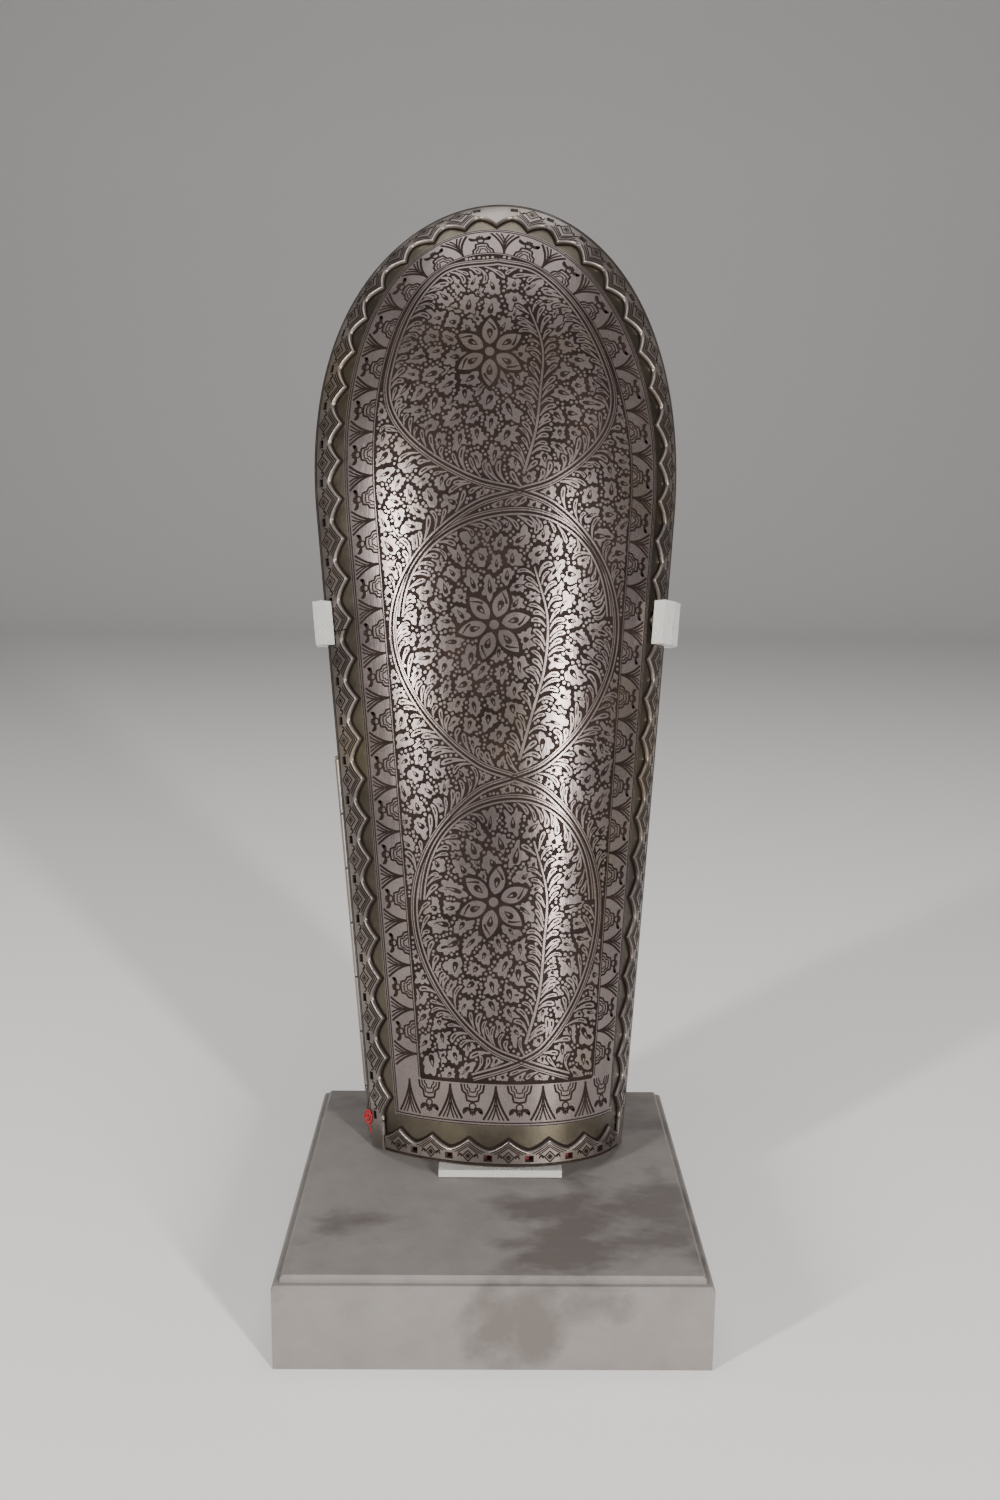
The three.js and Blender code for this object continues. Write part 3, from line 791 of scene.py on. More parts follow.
light = Drawing("field_leaves", etched, field_place, LIFT_LIGHT)
marks = Drawing("field_marks", etched_line, field_place, LIFT_MARK)
slits = Drawing("field_slits", etched, field_place, LIFT_SLIT)


def turned(points, angle, centre):
    c, s = math.cos(angle), math.sin(angle)
    return np.asarray(points, float) @ np.array([[c, s], [-s, c]]) + np.asarray(centre, float)


def drop_outline(length, width, count=16):
    """A drop with its round end at the start and its point along +x."""
    t = np.linspace(0, 2 * math.pi, count, endpoint=False)
    x = np.cos(t)
    y = np.sin(t) * np.sin(t / 2) ** 1.4
    return np.stack([x * length / 2, y * width * 0.62], -1)


def add_drop(centre, angle, length, width):
    """A dark drop with a light slit in it."""
    marks.polygon(turned(drop_outline(length, width), angle, centre))
    if length > 2.2:
        inner = turned(drop_outline(length * 0.42, width * 0.34, 10), angle, (0, 0))
        shift = np.array([math.cos(angle), math.sin(angle)]) * length * 0.1
        slits.polygon(inner + np.asarray(centre) + shift)


def comma_line(start, heading, curl, length, steps=13):
    """A line that leaves along a heading and curls more and more."""
    points = [np.array(start, float)]
    angle = heading
    for k in range(steps):
        points.append(points[-1] + np.array([math.cos(angle), math.sin(angle)]) * length / steps)
        angle += curl * (0.45 + 1.3 * (k / steps) ** 2) / steps
    return np.array(points)


def add_comma(start, heading, curl, length, width):
    line = comma_line(start, heading, curl, length)
    t = np.linspace(0, 1, len(line))
    if is_taken(line[2:]).mean() > 0.12:
        return False
    grown = np.clip(t / 0.75, 0, 1)
    round_end = np.sqrt(1 - np.clip((t - 0.8) / 0.2, 0, 0.97) ** 2)
    wide = width * (0.3 + 0.7 * grown ** 2 * (3 - 2 * grown)) * round_end
    light.ribbon(line, wide)
    middle = slice(len(line) // 2, -2)
    marks.ribbon(line[middle], wide[middle] * 0.30)
    take_line(line, wide + 2 * GROUND_GAP)
    return True


def add_stem(line, width, lengths, pitch, sides=(-1, 1), start=0.0):
    """Comma leaves on both sides of a line."""
    t = np.concatenate([[0], np.cumsum(np.linalg.norm(np.diff(line, axis=0), axis=1))])
    count = int((t[-1] - start) / pitch)
    for k in range(count):
        for side in sides:
            if rng.uniform() < STEM_MISS:
                continue
            at = start + (k + 0.5 + 0.25 * side + 0.3 * rng.uniform(-1, 1)) * pitch
            point = np.array([np.interp(at, t, line[:, 0]), np.interp(at, t, line[:, 1])])
            ahead = np.array([np.interp(at + 0.8, t, line[:, 0]), np.interp(at + 0.8, t, line[:, 1])])
            way = ahead - point
            if np.hypot(*way) < 1e-6:
                continue
            heading = math.atan2(way[1], way[0])
            off = np.array([-math.sin(heading), math.cos(heading)]) * side * (width / 2 + 0.3)
            length = rng.uniform(*lengths)
            way_out = heading + side * rng.uniform(0.35, 0.55)
            curl = side * rng.uniform(0.4, 2.8)
            add_comma(point + off, way_out, curl, length, rng.uniform(1.1, 1.9))


# The crossings, the flowers between them and the strands that swing round them
CROSSINGS = [(6.5, 36.5), (4.4, 134.5), (6.2, 233.5)]
FLOWERS = [(-3.0, 91.6), (-2.6, 187.3), (-3.6, 283.3)]
TOP_CROSSING = (0.0, FIELD_TOP - 3.0)


def strand(first_side):
    """A strand that swings from side to side of the field, crossing the other one."""
    ends = [*CROSSINGS, TOP_CROSSING]
    points = [(CROSSINGS[0][0] - first_side * 17.0, FIELD_FOOT + 1.6)]
    side = first_side
    for (p0, q0), (p1, q1) in zip(ends[:-1], ends[1:]):
        for k in range(24):
            t = k / 24
            q = q0 + (q1 - q0) * t
            middle = p0 + (p1 - p0) * t
            edge = (right_edge(q) - 2.6) if side > 0 else (left_edge(q) + 2.6)
            swing = math.sin(math.pi * t) ** 0.62
            if p1 == TOP_CROSSING[0] and t > 0.5:
                swing = 1.0
            points.append((middle + (edge - middle) * swing, q))
        side = -side
    points.append(TOP_CROSSING)
    return smooth_line(points)


def offset_line(line, distance):
    across = unit(np.gradient(line, axis=0))[:, ::-1] * np.array([-1.0, 1.0])
    return line + across * distance


def add_strand(line, turned_side=1.0):
    light.ribbon(line, STRAND_WIDTH)
    marks.ribbon(offset_line(line, -0.25 * turned_side), 0.85)
    marks.ribbon(offset_line(line, 0.85 * turned_side), 0.3)
    take_line(line, STRAND_WIDTH + GROUND_GAP)


def arch(crossing, drop):
    """The round top that closes a medallion below its crossing."""
    p, q = crossing
    q = q - 7.0
    angles = np.linspace(math.pi * 0.97, math.pi * 0.03, 36)
    foot = q - drop
    left = left_edge(foot) + 5.2
    right = right_edge(foot) - 5.2
    x = np.cos(angles)
    across = p + np.where(x < 0, -x * (left - p), x * (right - p))
    return smooth_line(np.stack([across, foot + drop * np.sin(angles) ** 0.8], -1))


strands = [strand(-1), strand(1)]
arches = [arch(crossing, ARCH_DROP) for crossing in CROSSINGS[1:]]
for line, hand in zip([*strands, *arches], (1, -1, 1, 1)):
    add_strand(line, hand)


def add_flower(centre, start_angle):
    """Six pointed petals round a light centre."""
    centre = np.array(centre)
    t = np.linspace(0, 2 * math.pi, 18, endpoint=False)
    light.polygon(centre + 1.65 * np.stack([np.cos(t), np.sin(t)], -1))
    for k in range(6):
        angle = start_angle + k * math.pi / 3
        way = np.array([math.cos(angle), math.sin(angle)])
        x = np.linspace(0, 1, 15)
        half = PETAL_HALF * np.sin(math.pi * x ** 0.85) ** 0.8
        upper = np.stack([x * PETAL_LENGTH, half], -1)
        outline = np.vstack([upper, (upper * np.array([1, -1]))[::-1][1:-1]])
        root = centre + way * 2.7
        light.polygon(turned(outline, angle, root), centre=root + way * 5.0)
        add_drop(root + way * 4.0, angle + math.pi, 4.0, 2.5)
        fold = np.array([(5.4, -1.9), (6.9, -1.0), (8.1, 0.2), (8.9, 0.9)])
        marks.ribbon(turned(smooth_line(fold), angle, root), np.linspace(0.9, 0.25, len(smooth_line(fold))))
        along = np.linspace(0, 1, 14)
        take_line(root + way * (along * PETAL_LENGTH)[:, None], 2 * np.interp(along, x, half) + 1.5)
    take_disc(centre, 2.3)


for centre, angle in zip(FLOWERS, (0.35, 0.2, 0.5)):
    add_flower(centre, angle)


def stem_line(crossing, flower, reach):
    """A stem that rises beside a flower."""
    p0, q0 = crossing
    p1, q1 = flower
    return smooth_line([
        (p0 + 1.5, q0 + 6),
        (p0 + 6.0, q0 + 22),
        (p1 + 17.5, q1 - 14),
        (p1 + 18.5, q1 + 2),
        (p1 + 14.0, q1 + reach),
    ])


for crossing, flower, reach in zip(CROSSINGS, FLOWERS, (21, 20, 17)):
    line = stem_line(crossing, flower, reach)
    light.ribbon(line, np.linspace(1.0, 0.6, len(line)))
    take_line(line, 1.0 + 2 * GROUND_GAP)
    add_stem(line, 0.9, (5.0, 8.0), 2.3)

for line in strands:
    add_stem(line, 2.6, (4.0, 9.5), 2.5)
for line in arches:
    add_stem(line, 2.6, (4.5, 7.5), 2.5)


def leaf_seeds(pitch, clearance):
    """Places for leaves, no two nearer than the pitch and clear of what is taken."""
    free_j, free_i = np.nonzero(~taken[::3, ::3])
    order = rng.permutation(len(free_i))
    points = np.stack([grid_p[::3][free_i[order]], grid_q[::3][free_j[order]]], -1)
    ring = np.linspace(0, 2 * math.pi, 10, endpoint=False)
    around = np.stack([np.cos(ring), np.sin(ring)], -1) * clearance
    clear = ~is_taken(points[:, None, :] + around[None]).any(1)
    seeds = []
    buckets = {}
    for point in points[clear]:
        key = (int(point[0] // pitch), int(point[1] // pitch))
        near = [buckets.get((key[0] + a, key[1] + b)) for a in (-1, 0, 1) for b in (-1, 0, 1)]
        gap = pitch * rng.uniform(0.8, 1.15)
        if any(other is not None and any(np.hypot(*(point - o)) < gap for o in other) for other in near):
            continue
        buckets.setdefault(key, []).append(point)
        seeds.append(point)
    return np.array(seeds)


RAYS = 56
ray_angles = np.linspace(0, 2 * math.pi, RAYS, endpoint=False)
ray_ways = np.stack([np.cos(ray_angles), np.sin(ray_angles)], -1)
leaf_outlines = []


def add_leaves(seeds):
    for seed in seeds:
        centre = min(FLOWERS, key=lambda flower: math.hypot(seed[0] - flower[0], seed[1] - flower[1]))
        flow = math.atan2(seed[1] - centre[1], seed[0] - centre[0]) + rng.uniform(-0.7, 0.7)
        apart = seeds - seed
        near = apart[(np.abs(apart).max(1) < 13) & (np.abs(apart).sum(1) > 0)]
        reach = np.full(RAYS, LEAF_REACH)
        if len(near):
            facing = near @ ray_ways.T
            half_way = (near ** 2).sum(1)[:, None] / (2 * np.maximum(facing, 1e-3))
            reach = np.minimum(reach, np.where(facing > 0, half_way, 99).min(0))
        steps = np.arange(1, 1 + int(LEAF_REACH / CELL)) * CELL
        hit = is_taken(seed + ray_ways[:, None, :] * steps[None, :, None])
        first = np.where(hit.any(1), steps[hit.argmax(1)], 9)
        reach = np.minimum(reach - GROUND_GAP, first - 0.1)
        reach = np.clip(reach, 0.5, None)
        room = np.sort(reach)[RAYS // 5]
        reach = np.minimum(reach, room * 2.3)
        body = float(reach.mean())
        # Narrower across the flow, drawn to a point along it
        facing = np.cos(ray_angles - flow)
        reach = reach * (1 - 0.22 * (1 - facing ** 2)) * np.where(facing > 0, 1.0, 0.95)
        lobes = rng.integers(7, 10) if body > DROP_ROOM else rng.integers(3, 6)
        phase = (ray_angles * lobes / (2 * math.pi) + rng.uniform()) % 1
        tooth = np.abs(phase - 0.5) * 2
        reach = reach * (1 - rng.uniform(0.20, 0.34) * tooth ** 1.6)
        outline = seed + ray_ways * reach[:, None]
        light.polygon(outline, centre=seed)
        leaf_outlines.append((seed, reach))
        spans = reach + np.roll(reach, RAYS // 2)
        ahead = int(round((flow % (2 * math.pi)) / (2 * math.pi) * RAYS)) % RAYS
        length = spans[ahead]
        breadth = spans[(ahead + RAYS // 4) % RAYS]
        if body > DROP_ROOM:
            long = length * rng.uniform(0.58, 0.70)
            add_drop(seed, flow, long, min(breadth * rng.uniform(0.36, 0.42), WIDEST_DROP))
        elif body > 1.0:
            marks.polygon(turned(drop_outline(min(2.6, length * 0.5), breadth * 0.3, 10), flow, seed))


def take_leaves():
    while leaf_outlines:
        seed, reach = leaf_outlines.pop()
        i0 = max(0, int((seed[0] - 7 - GRID_P) / CELL))
        j0 = max(0, int((seed[1] - 7 - GRID_Q) / CELL))
        window = taken[j0:j0 + 71, i0:i0 + 71]
        x = grid_p[i0:i0 + window.shape[1]][None, :] - seed[0]
        y = grid_q[j0:j0 + window.shape[0]][:, None] - seed[1]
        angle = np.arctan2(y, x) % (2 * math.pi)
        limit = np.interp(angle, np.append(ray_angles, 2 * math.pi), np.append(reach, reach[0]))
        window |= np.hypot(x, y) < limit + 1.5 * GROUND_GAP


add_leaves(leaf_seeds(LEAF_PITCH, 1.3))
take_leaves()
add_leaves(leaf_seeds(SMALL_LEAF_PITCH, 1.15))
take_leaves()


def add_berries():
    """Small light discs where the ground is wide."""
    free = ~taken
    for _ in range(3):
        free = free & np.roll(free, 1, 0) & np.roll(free, -1, 0) & np.roll(free, 1, 1) & np.roll(free, -1, 1)
    j, i = np.nonzero(free)
    order = rng.permutation(len(i))
    t = np.linspace(0, 2 * math.pi, 12, endpoint=False)
    disc = np.stack([np.cos(t), np.sin(t)], -1)
    for k in order:
        centre = np.array([grid_p[i[k]], grid_q[j[k]]])
        if taken[j[k], i[k]]:
            continue
        light.polygon(centre + disc * rng.uniform(0.45, 0.62))
        take_disc(centre, 1.2)


add_berries()


def ground_piece():
    """The dark ground under the leaves."""
    q = np.concatenate([np.linspace(FIELD_FOOT, 300, 190), np.linspace(300, FIELD_TOP - 0.1, 34)[1:]])
    shares = np.linspace(0, 1, 71)
    p = left_edge(q)[:, None] * (1 - shares) + right_edge(q)[:, None] * shares
    u, w = field_place(p, np.broadcast_to(q[:, None], p.shape))
    where = to_row(on_face(u, w, np.full_like(u, LIFT_GROUND))).reshape(-1, 3)
    out = (normal(u, w) @ GUARD_TURN.T).reshape(-1, 3)
    a = (np.arange(len(q) - 1)[:, None] * 71 + np.arange(70)).ravel()
    faces = np.stack([a, a + 1, a + 72, a + 71], -1).tolist()
    made = mesh_object("field_ground", where, faces, normals=out)
    return own(made, "guard_and_stand", [], ground)


ground_piece()
for drawing in (light, marks, slits):
    drawing.build("etched_steel")


# Side frieze, its places counted along the middle of the frieze from the left wrist corner

def frieze_track():
    lengths = np.linspace(0, RIM_LENGTH, 700)
    left = np.stack([np.full(700, -1.0), lengths], -1)
    right = np.stack([np.full(700, 1.0), lengths], -1)[::-1][1:]
    stations = np.vstack([left, right])
    distances = np.linspace(0, 30, 31)
    table = np.empty((len(stations), 31, 2))
    for side in (-1, 1):
        chosen = stations[:, 0] == side
        u, w = inset(side, stations[chosen, 1][:, None], distances[None, :])
        table[chosen] = np.stack([u, w], -1)
    middle = table[:, 24]
    steps = np.linalg.norm(np.diff(face(middle[:, 0], middle[:, 1]), axis=0), axis=1)
    return np.concatenate([[0], np.cumsum(steps)]), table


TRACK, TRACK_TABLE = frieze_track()


def frieze_place(a, d):
    """Plan places from a way along the frieze and a distance in from the rim."""
    a = np.clip(np.asarray(a, float), 0, TRACK[-1] - 1e-3)
    d = np.clip(np.asarray(d, float), 0, 29.99)
    j = np.clip(np.searchsorted(TRACK, a, side="right") - 1, 0, len(TRACK) - 2)
    t = ((a - TRACK[j]) / (TRACK[j + 1] - TRACK[j]))[..., None]
    i = d.astype(int)
    s = (d - i)[..., None]
    low = TRACK_TABLE[j, i] * (1 - s) + TRACK_TABLE[j, i + 1] * s
    high = TRACK_TABLE[j + 1, i] * (1 - s) + TRACK_TABLE[j + 1, i + 1] * s
    made = low * (1 - t) + high * t
    return made[..., 0], made[..., 1]


def frieze_motif(drawing, at, width, height, to_place):
    """One arrowhead and, half a pitch on, a stepped arch with a berry and two curls over it."""
    def line(points, thick, smooth=False, mirror=True):
        points = np.asarray(points, float)
        thick *= FRIEZE_BOLD
        for hand in ((-1, 1) if mirror else (1,)):
            run = (smooth_line if smooth else broken_line)(points * np.array([hand * width, height]), 0.6)
            run[:, 0] += at
            drawing.ribbon(to_place(run), thick)

    # Arrowheads with hollow sides, nested, their bases on the outer line
    for top, foot, tip, thick in ((1.0, 0.27, 0.02, 0.62), (1.0, 0.17, 0.30, 0.42), (1.0, 0.08, 0.55, 0.4)):
        t = np.linspace(0, 1, 12)
        side = np.stack([foot * (1 - t) ** 1.75, top - (top - tip) * t], -1)
        line(side, thick, smooth=True)
    # Stepped arches standing on the inner line
    arch_steps = np.array([(-0.255, 0.0), (-0.225, 0.20), (-0.150, 0.27), (-0.125, 0.47), (0.0, 0.50)])
    arch_steps = np.vstack([arch_steps, arch_steps[-2::-1] * np.array([-1, 1])])
    for share, thick in ((1.0, 0.55), (0.72, 0.36), (0.45, 0.36)):
        line(arch_steps * share + np.array([0.5, 0.0]), thick, mirror=False)
    # A berry and two curls over the arch
    t = np.linspace(0, 2 * math.pi, 15)
    ring = np.stack([0.5 + 0.07 * np.cos(t), 0.63 + 0.095 * np.sin(t)], -1)
    line(ring, 0.4, mirror=False)
    for hand in (-1, 1):
        t = np.linspace(0, 1, 9)
        turn = t * 4.2
        radius = 0.12 * (1 - 0.62 * t)
        curl = np.stack([
            0.5 + hand * (0.13 + radius * np.cos(turn + 2.6) * 0.8),
            0.80 + radius * np.sin(turn + 2.6) * 1.1,
        ], -1)
        run = smooth_line(curl * np.array([width, height]), 0.35)
        run[:, 0] += at
        drawing.ribbon(to_place(run), np.linspace(0.6, 1.8, len(run)))
    spark = np.array([(0.5, 0.76), (0.5, 0.9)])
    line(spark, 0.4, mirror=False)


frieze = Drawing("frieze_lines", etched_line, frieze_place, LIFT_LIGHT)
frieze_height = FRIEZE_INNER - FRIEZE_OUTER - 1.5


def side_to_place(run):
    return np.stack([run[:, 0], FRIEZE_INNER - 0.6 - run[:, 1]], -1)


left_foot = float(np.interp(FIELD_FOOT, TRACK_TABLE[:len(TRACK) // 2, 24, 1], TRACK[:len(TRACK) // 2]))
frieze_start = left_foot + 4.0
frieze_end = TRACK[-1] - frieze_start
motifs = round((frieze_end - frieze_start) / FRIEZE_PITCH)
frieze_width = (frieze_end - frieze_start) / motifs
for k in range(motifs):
    frieze_motif(frieze, frieze_start + (k + 0.25) * frieze_width, frieze_width, frieze_height, side_to_place)


def long_line(drawing, first, last, distance, thick):
    run = np.arange(first, last, 0.9)
    drawing.ribbon(np.stack([run, np.full_like(run, distance)], -1), thick)


outer_first = float(np.interp(FRIEZE_FOOT, TRACK_TABLE[:len(TRACK) // 2, 15, 1], TRACK[:len(TRACK) // 2]))
inner_first = float(np.interp(FIELD_FOOT, TRACK_TABLE[:len(TRACK) // 2, 27, 1], TRACK[:len(TRACK) // 2]))
long_line(frieze, outer_first, TRACK[-1] - outer_first, FRIEZE_OUTER - 0.9, 0.32)
long_line(frieze, outer_first, TRACK[-1] - outer_first, FRIEZE_OUTER, 0.42)
long_line(frieze, inner_first, TRACK[-1] - inner_first, FRIEZE_INNER + 0.1, 0.62)
long_line(frieze, inner_first, TRACK[-1] - inner_first, FRIEZE_INNER - 0.75, 0.28)
frieze.build("etched_steel")

wrist_frieze = Drawing("wrist_frieze_lines", etched_line, field_place, LIFT_LIGHT)
foot_left = float(left_edge(FIELD_FOOT)) - 9.0
foot_right = float(right_edge(FIELD_FOOT)) + 9.0
wrist_motifs = 5
wrist_width = (foot_right - foot_left) / wrist_motifs
wrist_height = FIELD_FOOT - FRIEZE_FOOT - 1.8


def wrist_to_place(run):
    return np.stack([run[:, 0], FIELD_FOOT - 0.9 - run[:, 1]], -1)


for k in range(wrist_motifs):
    at = foot_left + (k + 0.25) * wrist_width
    frieze_motif(wrist_frieze, at, wrist_width, wrist_height, wrist_to_place)


def level_line(drawing, p0, p1, q, thick):
    run = np.arange(p0, p1, 0.9)
    drawing.ribbon(np.stack([run, np.full_like(run, q)], -1), thick)


outer_left = float(left_edge(FIELD_FOOT)) - (FRIEZE_INNER - FRIEZE_OUTER)
outer_right = float(right_edge(FIELD_FOOT)) + (FRIEZE_INNER - FRIEZE_OUTER)
level_line(wrist_frieze, outer_left, outer_right, FRIEZE_FOOT, 0.42)
level_line(wrist_frieze, outer_left, outer_right, FRIEZE_FOOT - 0.9, 0.32)
level_line(wrist_frieze, float(left_edge(FIELD_FOOT)), float(right_edge(FIELD_FOOT)), FIELD_FOOT - 0.2, 0.65)
level_line(wrist_frieze, float(left_edge(FIELD_FOOT)), float(right_edge(FIELD_FOOT)), FIELD_FOOT + 0.7, 0.28)
wrist_frieze.build("etched_steel")

def add_strip_ribbon(drawing, counts, distances, thick, pitch):
    """A band whose width is true although its places are counted in scallops."""
    points = np.stack([np.asarray(counts) * pitch, distances], -1)
    drawing.ribbon(points, thick)
    made, faces = drawing.parts[-1]
    drawing.parts[-1] = (made / np.array([pitch, 1.0]), faces)


# Tarnished band between the strips and the frieze, in ribbons that lie side by side
band = Drawing("tarnished_band", tarnished, frieze_place, 0.02)
for distance, thick in ((8.2, 2.0), (10.2, 2.0), (12.2, 2.0), (13.6, 0.8)):
    long_line(band, 0.5, TRACK[-1] - 0.5, distance, thick)
band.build("etched_steel")
wrist_band = Drawing("tarnished_band_wrist", tarnished, wrist_place, 0.02)
run = np.linspace(0, SCALLOPS_AT_WRIST, 90)
for distance, thick in ((5.0, 2.0), (7.0, 2.0), (9.0, 2.0), (11.0, 2.0), (12.9, 1.8)):
    add_strip_ribbon(wrist_band, run, np.full_like(run, distance), thick, WRIST_SCALLOP)
wrist_band.build("etched_steel")


# Lines on the border strips

def strip_lines(name, place, first, last, pitch):
    drawing = Drawing(name, etched_line, place, STRIP_TOP + 0.05)
    at_wrist = place is wrist_place
    size = WRIST_STRIP_WIDE / STRIP_WIDE if at_wrist else 1.0
    counts = strip_counts(first, last, 16)
    for distance, thick in ((0.7, 0.34), (1.6 * size, 0.42)):
        add_strip_ribbon(drawing, counts, np.full_like(counts, distance), thick, pitch)
    for tip in np.arange(math.ceil(first - 0.5) + 0.5, last, 1.0):
        for back, span in ((1.3 * size, 0.42), (2.4 * size, 0.35), (3.4 * size, 0.27)):
            x = np.linspace(-span, span, 21)
            reach = scallop_reach(tip + x + 0.5, at_wrist) - back
            add_strip_ribbon(drawing, tip + x, reach, 0.44 * size + 0.06, pitch)
        diamond = np.array([(0, 2.3), (2.6, 4.9), (0, 7.6), (-2.6, 4.9), (0, 2.3)]) * size
        run = broken_line(diamond, 0.5)
        add_strip_ribbon(drawing, tip + run[:, 0] / pitch, run[:, 1], 0.5, pitch)
        small = broken_line(diamond * 0.5 + np.array([0, 2.45 * size]), 0.5)
        add_strip_ribbon(drawing, tip + small[:, 0] / pitch, small[:, 1], 0.34, pitch)
        t = np.linspace(0, 2 * math.pi, 10, endpoint=False)
        drawing.polygon(np.stack([tip + 0.6 * np.cos(t) / pitch, 4.95 * size + 0.6 * np.sin(t)], -1))
        for hand in (-1, 1):
            run = smooth_line(np.array([(hand * 2.9, 4.6), (hand * 4.3, 5.8), (hand * 5.2, 4.2)]) * size, 0.5)
            thick = np.linspace(1.0, 0.35, len(run))
            add_strip_ribbon(drawing, tip + run[:, 0] / pitch, run[:, 1], thick, pitch)
    return drawing.build("border_steel")


def painted_shadow_line(name, place, first, last, pitch):
    """Painted shadow on the plate along a strip's scalloped edge, where the raised strip casts shade."""
    drawing = Drawing(name, ground, place, LIFT_LIGHT + 0.03)
    counts = strip_counts(first, last, 30)
    reach = scallop_reach(counts + 0.5, place is wrist_place)
    add_strip_ribbon(drawing, counts, reach + 0.3, 1.1, pitch)
    drawing.build("etched_steel")


# Painted shadow: dark ribbons beside the inner edges of the side and wrist strips
for hand, side in (("left", -1), ("right", 1)):
    painted_shadow_line(f"border_painted_shadow_{hand}", side_place(side), 0, SCALLOPS, SIDE_SCALLOP)
painted_shadow_line("border_painted_shadow_wrist", wrist_place, 0, SCALLOPS_AT_WRIST, WRIST_SCALLOP)
strip_lines("border_left_lines", side_place(-1), 0, SEAM_SCALLOP - 0.05, SIDE_SCALLOP)
strip_lines("border_right_lines", side_place(1), 0, SEAM_SCALLOP - 0.05, SIDE_SCALLOP)
strip_lines("border_crown_left_lines", side_place(-1), SEAM_SCALLOP + 0.05, SCALLOPS, SIDE_SCALLOP)
strip_lines("border_crown_right_lines", side_place(1), SEAM_SCALLOP + 0.05, SCALLOPS, SIDE_SCALLOP)
strip_lines("border_wrist_lines", wrist_place, 0.02, SCALLOPS_AT_WRIST - 0.02, WRIST_SCALLOP)


# Hinges and wrist plates

def hinge_frame(side):
    """The pin's foot, its axis and the directions outward and backward, in the guard's frame."""
    ends = []
    for w in (HINGE_START, HINGE_START + KNUCKLES * KNUCKLE):
        u = side * float(side_half(w))
        past = walk(np.array([u, w]), np.array([float(side), 0.0]), np.float64(HINGE_REACH), 14)
        ends.append(on_face(past[0], past[1], -HINGE_SINK))
    foot, top = ends
    axis = unit(top - foot)
    outward = unit(np.array([side, 0, 0]) - side * axis[0] * axis)
    backward = unit(np.array([0, 1, 0]) - axis[1] * axis)
    return foot, axis, outward, backward


def barrel(hinge, low, high, radius, sides=36, soft=0.2):
    """A cylinder about the pin's line with softened ends."""
    foot, axis, outward, backward = hinge
    small = radius - soft
    rings = [(low, 0.0), (low, small), (low + soft, radius), (high - soft, radius), (high, small), (high, 0.0)]
    t = np.linspace(0, 2 * math.pi, sides, endpoint=False)
    points = []
    for along, r in rings:
        round_it = np.cos(t)[:, None] * outward * r + np.sin(t)[:, None] * backward * r
        points.append(foot + axis * along + round_it)
    index = np.arange(sides)
    faces = []
    for k in range(len(rings) - 1):
        a, b = k * sides + index, k * sides + (index + 1) % sides
        faces.append(np.stack([a, b, b + sides, a + sides], -1))
    return to_row(np.concatenate(points)), np.concatenate(faces)


def knuckle_parts(hinge, first):
    parts = []
    for n in range(first, KNUCKLES, 2):
        low = n * KNUCKLE + (KNUCKLE_GAP / 2 if n else 0)
        high = (n + 1) * KNUCKLE - (KNUCKLE_GAP / 2 if n < KNUCKLES - 1 else 0)
        parts.append(barrel(hinge, low, high, KNUCKLE_RADIUS))
    return parts


def leaf_part(side, w0, w1, first_inset):
    """A stretch of the fixed leaf under the plate's edge."""
    w = np.linspace(w0, w1, 12)[:, None] * np.ones((1, 8))
    reach = np.linspace(first_inset, LEAF_WIDTH, 8)[None, :] * np.ones((12, 1))
    start = np.stack([side * side_half(w), w], -1)
    at = walk(start, np.array([-float(side), 0.0]), reach, 14)
    top = -WALL - LEAF_GAP
    front = on_face(at[..., 0], at[..., 1], np.full(w.shape, top))
    back = on_face(at[..., 0], at[..., 1], np.full(w.shape, top - LEAF_WALL))
    return shell_arrays(to_row(front), to_row(back))


def wing_curve(columns):
    step = WING_WIDTH / columns
    out, back, rows = KNUCKLE_RADIUS - WING_SINK - WING_WALL / 2, 0.0, []
    for i in range(columns + 1):
        heading = WING_FLARE - step * i / WING_RADIUS
        rows.append((out, back, heading, i / columns))
        middle = heading - step / (2 * WING_RADIUS)
        out += step * math.sin(middle)
        back += step * math.cos(middle)
    return rows


def wing_part(hinge, columns, share_range, along_range=None):
    """A stretch of a wrist plate; with no range along the pin it runs from lower to upper edge."""
    foot, axis, outward, backward = hinge
    curve = np.array(wing_curve(240))
    shares = np.linspace(*share_range, columns)
    out, back, heading = (np.interp(shares, curve[:, 3], curve[:, k]) for k in range(3))
    low = WING_FOOT - HINGE_START + WING_LOW_END * shares ** 2
    high = KNUCKLES * KNUCKLE - WING_HIGH_END * (3 * shares ** 2 - 2 * shares ** 3)
    if along_range:
        low, high = np.full(columns, along_range[0]), np.full(columns, along_range[1])
    t = np.concatenate([[0, 0.004], np.linspace(0.02, 0.98, 24), [0.996, 1]])[:, None]
    along = low * (1 - t) + high * t
    faces = []
    end = np.minimum(1, np.minimum((1 - shares) * WING_WIDTH / 0.5, 1))
    soft = 0.62 + 0.38 * np.sqrt(end)
    soft = soft[None, :] * np.where((t < 0.003) | (t > 0.997), 0.68, 1.0)
    for hand in (1, -1):
        offset = hand * WING_WALL / 2 * soft
        where = (
            foot + along[..., None] * axis
            + (out + offset * np.cos(heading))[..., None] * outward
            + (back - offset * np.sin(heading))[..., None] * backward
        )
        faces.append(to_row(where))
    return shell_arrays(*faces)


